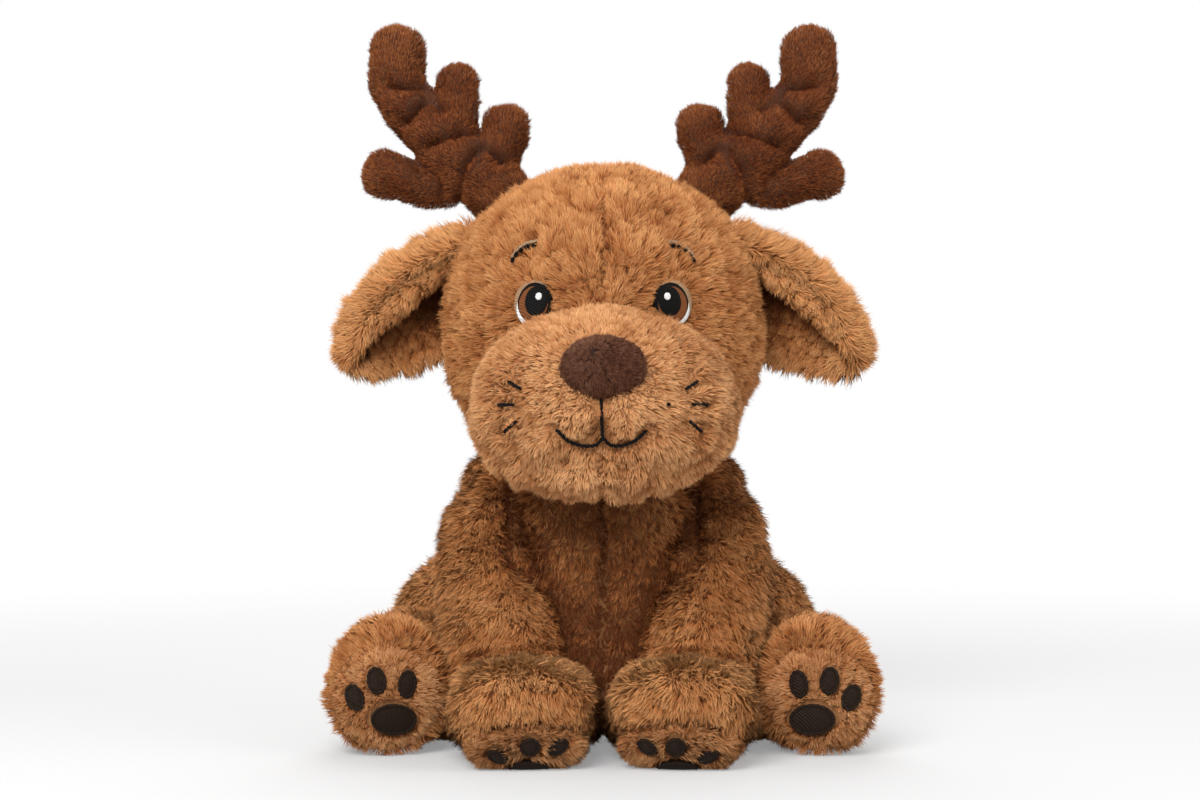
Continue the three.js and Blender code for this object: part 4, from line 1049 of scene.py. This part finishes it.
def build_eyes():
    """Embroidered eyes, one thread over the other, and brows of five stitches with a pale line over them."""
    out = [0, -1.0, 0.3]
    for side, sign in SIDES:
        for part, fabric, (x, z), half, top, thick in EYE_LAYERS:
            made = patch_on(head_front, (sign * x, z), half, top, thick, sign * EYE_LEAN)
            make_piece(f"eye_{side}_{part}", made, "head", fabric, (f"eye_{side}_patch",) if part == "outline" else ())
        line = [(sign * a, b) for a, b in BROW_LINE]
        pale = draped(head_front, [(a, b + 2.2) for a, b in line], lift=0.3)
        dark = stitches(draped(head_front, line, lift=0.9), out, 1.0, 5, 0.08)
        make_piece(f"brow_{side}", dark, "head", BLACK)
        make_piece(f"brow_{side}_pale", thread(pale, out, 0.9), "head", RIM)


EAR_WAYS = unit(np.array(EAR_ALONG, float)), unit(np.array(EAR_UP, float))
EAR_WAYS = (*EAR_WAYS, unit(np.cross(*EAR_WAYS)))


def ear_middle(s, t):
    """The folded cloth's middle: round a fold along the top, then hanging on both sides, with the front edge
    curled in; s runs from the head to the tip and t from the back edge, -1, to the front edge, 1."""
    along, up, forward = EAR_WAYS
    size = spline(EAR_WIDTHS, np.clip(s, 0, 1))[..., 1]
    fold, curl = EAR_FOLD * size, EAR_CURL * size
    front = t > 0
    run = np.abs(t) * size * np.where(front, EAR_FRONT_FLAP + EAR_CURL * EAR_CURL_TURN, EAR_BACK_FLAP)
    slope = np.where(front, 0.9, np.arccos(0.12 + 0.5 * smooth_step(0.55, 0, s)))
    turn = np.minimum(run / fold, slope)
    rolled = np.where(front, np.maximum(0, run - EAR_FRONT_FLAP * size), 0)
    hang = run - fold * turn - rolled
    bend = slope + rolled / curl
    ahead = fold * np.sin(turn) + hang * np.cos(slope) + curl * (np.sin(bend) - np.sin(slope))
    fall = fold * (1 - np.cos(turn)) + hang * np.sin(slope) + curl * (np.cos(slope) - np.cos(bend))
    bow = EAR_ARCH * np.sin(np.pi * np.clip(s, 0, 1))
    place = np.array(EAR_ROOT) + along * (s * EAR_LENGTH)[..., None]
    return place + up * (bow - fall)[..., None] + forward * (np.sign(t) * ahead)[..., None]


def ear_place(p):
    """Where points lie on the left ear: shares along it, and millimetres up off its fold line and forwards."""
    along, up, forward = EAR_WAYS
    q = p - EAR_ROOT
    share = q @ along / EAR_LENGTH
    return share, q @ up - EAR_ARCH * np.sin(np.pi * np.clip(share, 0, 1)), q @ forward


def ear_skin(thickness=4.0, rows=56, columns=84):
    """Both panels as one closed shell round the middle: half the thickness to each side, rounded to nothing at
    the sewn edge, with a soft wave along the edges."""
    s, t = np.meshgrid(np.linspace(-0.06, 1, rows), np.linspace(-1, 1, columns), indexing="ij")
    step = 0.01
    across = ear_middle(s, t + step) - ear_middle(s, t - step)
    ahead = ear_middle(s + step, t) - ear_middle(s - step, t)
    out = unit(np.cross(across, ahead))
    wave = 1.6 * np.sin(9 * s + 1) * np.clip(-t, 0, 1) ** 3
    middle = ear_middle(s, t) + out * wave[..., None]
    edge = np.sqrt(np.clip(1 - np.abs(t) ** 6, 0, 1)) * np.sqrt(np.clip(1 - np.clip(2 * s - 1, 0, 1) ** 8, 0, 1))
    half = thickness / 2 * np.maximum(edge, 0.12)[..., None]
    upper, lower = middle + out * half, middle - out * half
    return tube(np.concatenate([upper, lower[:, ::-1]], 1))


def build_ears():
    """Folded ears: long pile that runs from the fold to the rim and the tip, and shorter pile inside, with painted
    shade in the hollow under the fold.
    """
    along, up, forward = EAR_WAYS

    def inner(p, n):
        """1 on the faces that look into the hollow under the fold."""
        _, rise, ahead = ear_place(p)
        return smooth_step(-4, 4, -((rise + 15) * (n @ up) + ahead * (n @ forward)))

    def band(p):
        """1 on the front edge where it curls in."""
        _, rise, ahead = ear_place(p)
        return smooth_step(-8, -11, rise) * smooth_step(3, 6, ahead)

    def rim(p):
        """1 along the edge of the back flap and at the tip."""
        share, rise, _ = ear_place(p)
        deep = -rise / (EAR_BACK_FLAP * spline(EAR_WIDTHS, np.clip(share, 0, 1))[..., 1])
        return np.maximum(smooth_step(0.7, 0.95, deep), smooth_step(0.82, 0.95, share))

    def comb(p, n):
        _, rise, ahead = ear_place(p)
        away = unit(forward * ahead[:, None] + up * rise[:, None])
        over = (smooth_step(-10, -4, rise) * smooth_step(-5, 1, ahead))[:, None]
        rolled = band(p)[:, None]
        return (0.6 + rolled) * along + 1.3 * (1 - over) * (1 - rolled) * away + 0.9 * over * (up - forward)

    def tone(p, n):
        share, _, ahead = ear_place(p)
        # Painted shade: darker in the hollow under the fold, away from the rim and more so near the head. Lighter
        # along the curled front edge.
        hollow = (1 - rim(p)) * (0.35 + 0.65 * smooth_step(0.7, 0.3, share))
        return 0.32 + 0.1 * band(p) - 1.15 * smooth_step(5, -1, ahead) * inner(p, n) * hollow

    def length(p, n):
        under, edge = inner(p, n), rim(p)
        return (1 - under) * (11 - 2 * edge) * (1 - 0.5 * band(p)) + under * (5.2 + 5 * edge)

    def weight(p, n):
        sunk = inside(HEAD, p)
        return np.where((sunk > 10) | (n @ along < -0.7), 0, np.where(sunk > 3, 0.6, 1.0))

    skin = ear_skin()
    for side, sign in SIDES:
        name = f"ear_{side}"
        dress(name, skin, name, BODY, comb, length, sign, nodes=(f"{name}_outer_panel", f"{name}_inner_panel"),
              count=56000, seed=500, lean=0.9, tuft=5, stray=0.2, weight=weight, tone=tone)


def remeshed(name, surfaces, voxel, smooth):
    """Several overlapping surfaces as one: joined, rebuilt in small cubes and smoothed, then read back."""
    points, faces = joined(surfaces)
    mesh = bpy.data.meshes.new(name)
    mesh.from_pydata(points.tolist(), [], faces.tolist())
    piece = bpy.data.objects.new(name, mesh)
    scene.collection.objects.link(piece)
    remesh = piece.modifiers.new("cubes", "REMESH")
    remesh.mode, remesh.voxel_size = "VOXEL", voxel
    ease = piece.modifiers.new("ease", "SMOOTH")
    ease.factor, ease.iterations = 0.5, smooth
    bpy.context.view_layer.update()
    done = piece.evaluated_get(bpy.context.evaluated_depsgraph_get()).to_mesh()
    done.calc_loop_triangles()
    where = np.empty(len(done.vertices) * 3, np.float32)
    done.vertices.foreach_get("co", where)
    triangles = np.empty(len(done.loop_triangles) * 3, np.int32)
    done.loop_triangles.foreach_get("vertices", triangles)
    bpy.data.objects.remove(piece)
    bpy.data.meshes.remove(mesh)
    return where.reshape(-1, 3).astype(float), triangles.reshape(-1, 3).astype(np.int64)


def build_antlers():
    """Antlers of four stuffed tines grown together, with a crease where each tine is stitched off; their pile is
    combed along the tines and is short in the notches."""
    size = ANTLER_WIDE - 2.8, ANTLER_THICK - 2.4
    tines = [ring_surface(stuffed_limb(ANTLER_ROOT, ANTLER_REACH, *size, stops), 56, 72) for stops in ANTLER_STOPS]
    crease = [[(x, 0, z) for x, z in spline(line, np.linspace(0, 1, 12))] for line in ANTLER_CREASES]
    flat = lambda p: p * (1, 0, 1)
    fold = lambda p: nearest(flat(p), crease)
    notch = lambda p: np.min([np.linalg.norm(flat(p) - (x, 0, z), axis=1) for x, z in ANTLER_NOTCHES], axis=0)

    def relief(p, n):
        face = np.abs(n[:, 1])
        creased = lumps(p, 20, 0.8, 45) - 3.4 * face * bell(fold(p), 2.8) + face * smooth_step(3, 9, fold(p))
        return creased - 1.2 * (1 - face) * bell(notch(p), 9)

    starts = [np.array(ANTLER_ROOT) + np.array(stops)[:, :3] * ANTLER_REACH for stops in ANTLER_STOPS]
    spines = [spline(stops, np.linspace(0, 1, 24)) for stops in starts]
    places = np.vstack(spines)
    ways = np.vstack([unit(np.gradient(spine, axis=0)) for spine in spines])
    comb = lambda p, n: ways[np.linalg.norm(p[:, None] - places[None], axis=-1).argmin(1)]
    weight = lambda p, n: np.where(inside(HEAD, p) > 3, 0, 1.0)
    # Painted shade in the creases, and painted light towards the tips, away from the notches.
    tone = lambda p, n: 0.34 * smooth_step(12, 30, notch(p)) - 0.08 - 0.4 * bell(fold(p), 2.4)

    def length(p, n):
        return 4.2 * (0.4 + 0.6 * smooth_step(1, 11, notch(p))) * (0.6 + 0.4 * smooth_step(1, 4, fold(p)))

    skin = shaped(remeshed("antler_form", tines, 1.7, 5), relief)
    for side, sign in SIDES:
        name = f"antler_{side}"
        dress(name, skin, name, ANTLER, comb, length, sign, fill=0.8, count=41000, seed=600,
              lean=0.9, tuft=2.8, pull=0.2, stray=0.12, width=0.42, weight=weight, tone=tone)


def head_room(surface):
    """Lowers what reaches into the space that the nodding head needs over the shoulders."""
    points, faces = surface
    points = points.copy()
    rows = np.array(HEAD_ROOM_ROWS)
    off_axis = np.hypot(points[:, 0], points[:, 1])
    limit = HEAD_ROOM_FLOOR - 3 + np.interp(off_axis, rows[:, 0] * HEAD["width"] / 2, rows[:, 1] * HEAD["height"])
    over = np.maximum(0, points[:, 2] - limit)
    slope = 0.012 * np.maximum(0, off_axis - 48) ** 2 * smooth_step(118, 140, points[:, 2])
    points[:, 2] -= over * 0.95 + slope
    return points, faces


def build_front_legs():
    """Sleeves with a seam down the front and a gathered wrist, and paws whose pile spreads from the wrist."""
    middle = PAW["height"] / 2 - PAW_FORWARD
    sole = SOLES["front_paw"]
    sole_across, sole_up, sole_way = facing(sole["way"])

    def lying(p):
        """How deep points lie in the paw, which is a stuffed form on its back."""
        return inside(PAW, np.stack([p[:, 0] - PAW_OUT, -p[:, 2], middle - p[:, 1]], 1))

    at_neck = lambda p: smooth_step(126, 138, p[:, 2]) * smooth_step(68, 54, np.hypot(p[:, 0], p[:, 1]))
    seam = lambda p: np.where(p[:, 1] < -20, line_distance(p * (1, 0, 1), SLEEVE_SEAM), NO_SEAM)

    def relief(p, n):
        wrist = np.abs(lying(p) + 3)
        pucker = 0.9 * ripple(p * (1, 1, 0.35), 10, 77) * bell(wrist, 12)
        pucker = pucker + 0.8 * ripple(p * (0.4, 1, 1), 8, 78) * bell(seam(p), 9)
        return lumps(p, 30, 0.9, 55) + groove(seam(p), 3.6, 3.4) + pucker + groove(wrist, 5, 2.0)

    def weight(p, n):
        hidden = (inside(TORSO, p) > 9) | (inside(HEAD, p) > 2) | (lying(p) > 6)
        return np.where(hidden, 0, np.where(inside(TORSO, p) > 5, 0.5, 1.0))

    def length(p, n):
        cling = smooth_step(-13, -4, inside(TORSO, p))
        return seam_pile(seam(p) * 1.3, 8.0) * (1 - 0.4 * cling) + 3 * at_neck(p)

    def comb(p, n):
        up = at_neck(p)[:, None]
        return (1 - up) * np.array([0.0, -0.3, -1.0]) + up * unit(p * (1, 1, 0) + (0, 0, 60))

    def tone(p, n):
        # Painted shade along the seam, where the sleeve meets the torso and at the wrist, and on the upper arm under
        # the head. Painted light on the outer side.
        crease_shade = bell(seam(p), 3) + bell(inside(TORSO, p), 5) + 1.2 * bell(lying(p) + 1, 1.6)
        outer, upper = smooth_step(56, 74, np.abs(p[:, 0])), smooth_step(60, 110, p[:, 2])
        return 0.14 * outer - 0.05 - 0.14 * upper - 0.35 * crease_shade

    def laid_paw(u, v):
        x, y, z = np.moveaxis(stuffed_form(PAW)(u, v), -1, 0)
        return np.stack([x + PAW_OUT, middle - z, -y], -1)

    def paw_weight(p, n):
        hidden = in_sleeve(p) > 6
        hidden |= ((p - sole["centre"]) @ sole_way > -2.5) & (np.abs(p[:, 0] - sole["centre"][0]) < 26)
        hidden |= (n[:, 2] < -0.5) & (p[:, 2] < 5)
        return np.where(hidden | (inside(TORSO, p) > 6), 0, 1.0)

    def paw_comb(p, n):
        low = smooth_step(24, 8, p[:, 2])[:, None]
        apart = unit((p - (PAW_OUT, -62, 0)) * (1, 1, 0))
        return unit((p - (PAW_OUT + 3, -44, 50)) * (1, 0.6, 1) + (0, 0, -8)) + 0.9 * low * apart

    def paw_length(p, n):
        long = 9.0 * (0.5 + 0.5 * smooth_step(-1, 4, -in_sleeve(p))) + 2 * smooth_step(24, 8, p[:, 2])
        off = p - sole["centre"]
        sole_edge = np.hypot(off @ sole_across / 29, off @ sole_up / 16)
        return long * (1 - 0.45 * smooth_step(1.7, 1.15, sole_edge))

    # Painted light on the top of the paw, where it faces up.
    paw_tone_lit_top = lambda p, n: 0.14 + 0.34 * smooth_step(0.2, 0.9, n[:, 2])
    sleeve = ring_surface(stuffed_limb(SLEEVE["start"], SLEEVE["reach"], SLEEVE_RADIUS, SLEEVE_RADIUS, SLEEVE_STOPS))
    sleeve = head_room(shaped(grown(sleeve, -CLOTH_DEPTH), relief))
    paw = flattened(grown(ring_surface(laid_paw), -CLOTH_DEPTH), sole)
    paw = on_floor(shaped(paw, lambda p, n: lumps(p, 26, 0.9, 65) + groove(in_sleeve(p) + 2, 4, 2.6)))
    for side, sign in SIDES:
        body = f"front_leg_{side}"
        dress(body, sleeve, body, BODY, comb, length, sign, fill=0.8, count=47000, seed=700, weight=weight, tone=tone)
        dress(f"front_paw_{side}", paw, body, BODY, paw_comb, paw_length, sign, fill=0.7, count=36000, seed=740,
              weight=paw_weight, tone=paw_tone_lit_top)


def build_hind_legs():
    """Upright thighs against the torso, and feet that lie splayed in front of them with their soles forwards."""
    sole = SOLES["hind_foot"]
    way = unit(np.array(sole["way"]))
    off_sole = lambda p: np.linalg.norm(p - sole["centre"], axis=1)

    def thigh_point(u, v):
        outline = spline(THIGH_ROWS, v)
        radius = np.maximum(outline[..., 0], 0) * (THIGH_RADIUS - CLOTH_DEPTH)
        x, y = (place + radius * turn(2 * np.pi * u) for place, turn in zip(THIGH_PLACE, (np.cos, np.sin)))
        return np.stack([x, y, outline[..., 1] * (THIGH_HEIGHT - CLOTH_DEPTH)], -1)

    def weight(p, n):
        return np.where((inside(TORSO, p) > 6) | underneath(p, n), 0, 1.0)

    def tone(p, n):
        # Painted shade on the inner, front-facing part of the thigh, behind the arm.
        return 0.25 - 0.45 * smooth_step(90, 66, np.abs(p[:, 0])) * smooth_step(0.3, -0.3, n[:, 1])

    def foot_weight(p, n):
        hidden = (np.hypot(p[:, 0] - THIGH_PLACE[0], p[:, 1] - THIGH_PLACE[1]) < 32) & (p[:, 2] < 80)
        hidden |= ((p - sole["centre"]) @ way > -2.5) & (off_sole(p) < 25)
        return np.where(hidden, 0, weight(p, n))

    def foot_tone(p, n):
        # Painted light on the top of the foot. Lighter in a ring round the sole.
        return 0.12 * smooth_step(0.3, 0.9, n[:, 2]) - 0.1 + 0.15 * bell(off_sole(p) - 28, 5)

    def foot_comb(p, n):
        far = smooth_step(24, 46, off_sole(p))[:, None]
        return (1 - far) * (unit(p - sole["centre"]) + (0.15, 0.35, 0)) + far * np.array([0.3, 0, -1.0])

    thigh = on_floor(shaped(ring_surface(thigh_point), lambda p, n: lumps(p, 34, 1.0, 85)))
    foot = ring_surface(stuffed_limb((*THIGH_PLACE, 0), FOOT_REACH, FOOT_WIDE, FOOT_THICK, FOOT_STOPS, FOOT_BULGE))
    foot = flattened(grown(foot, -CLOTH_DEPTH), sole)
    foot = on_floor(shaped(foot, lambda p, n: lumps(p, 24, 0.8, 95)))
    for side, sign in SIDES:
        body = f"hind_leg_{side}"
        dress(body, thigh, body, BODY, DOWN, 8.2, sign, fill=0.8, count=28000, seed=800, weight=weight, tone=tone)
        dress(f"hind_foot_{side}", foot, body, BODY, foot_comb, 8.0, sign, fill=0.7, count=28000, seed=840,
              weight=foot_weight, tone=foot_tone)


def build_soles():
    """Rounded soles with short pile that is combed away from their pads, and pads of thread with a raised edge."""
    for stem, sole in SOLES.items():
        across, up, out = facing(sole["way"])
        centre, size = np.array(sole["centre"]), np.array(sole["size"], float)
        wide, tall, deep = size
        skin = on_floor(lens_surface(centre - out * 1.5, sole["way"], (wide - 2, tall - 2, deep - 2)))
        pads = []
        for name, (a, b, tilt), w, h in sole["pads"]:
            dome = math.sqrt(1 - a * a - b * b)
            place = centre + across * a * wide / 2 + up * b * tall / 2 + out * dome * deep / 2
            way = unit(across * a / wide + up * b / tall + out * dome / deep)
            x, y = leaned(*facing(way)[:2], tilt)
            turn = np.linspace(0, 2 * np.pi, 48, endpoint=False)[:, None]
            edge = w / 2 * np.cos(turn) * x + h / 2 * np.sin(turn) * y
            raised = thread(place + edge * 0.93 + way * 1.0, way, 0.9, looped=True)
            pad = on_floor(joined([lens_surface(place + way * 0.4, way, (w, h, 3.6), 36, 16, tilt), raised]))
            pads.append((name, place, x, y, w, h, pad))

        def weight(p, n):
            shown = (p - centre) @ out > -4
            for _, place, x, y, w, h, _ in pads:
                shown &= ((p - place) @ x / (w / 2)) ** 2 + ((p - place) @ y / (h / 2)) ** 2 > 1.3
            return shown

        def border(p):
            """1 at the sole's sewn edge."""
            off = p - centre
            return smooth_step(0.8, 1.0, np.hypot(off @ across / (wide / 2), off @ up / (tall / 2)))

        def comb(p, n):
            way = unit(p - centre + (0, 0, -6))
            for _, place, _, _, w, _, _ in pads:
                off = p - place
                way = way + 2.5 * bell(np.linalg.norm(off, axis=1), 0.5 * w + 3)[:, None] * unit(off)
            return way

        length = lambda p, n: sole["pile"] * (1 - 0.3 * border(p))
        # Painted shade at the sewn edge of the sole.
        tone = lambda p, n: 0.04 - 0.2 * border(p)
        for side, sign in SIDES:
            name, body = f"{stem}_{side}", f"{sole['body']}_{side}"
            dress(f"{name}_base", skin, body, FACE, comb, length, sign, nodes=(f"{name}_sole",),
                  count=sole["count"], seed=900, lean=0.6, tuft=3.4, weight=weight, tone=tone)
            for part, *_, pad in pads:
                pad = pad if sign > 0 else mirrored(pad)
                make_piece(f"{name}_{part}_stitched", pad, body, PAD, (f"{name}_{part}",))


def build_tail():
    """A short stub whose pile hangs down over it."""
    skin = grown(ring_surface(stuffed_limb(TAIL_ROOT, TAIL_REACH, TAIL_RADIUS, TAIL_RADIUS, TAIL_STOPS), 60, 40), -3)
    make_piece("tail_stub", skin, "tail", BODY, ("tail",))
    pile("tail_pile", skin, "tail", BODY, np.array([0, 0.3, -0.8]), 9.5, count=6000, seed=950,
         weight=lambda p, n: np.where(inside(TORSO, p) > 4, 0, 1.0), tone=0.15)


build_stage()
build_torso()
build_head()
build_muzzle()
build_nose()
build_eyes()
build_ears()
build_antlers()
build_front_legs()
build_hind_legs()
build_soles()
build_tail()
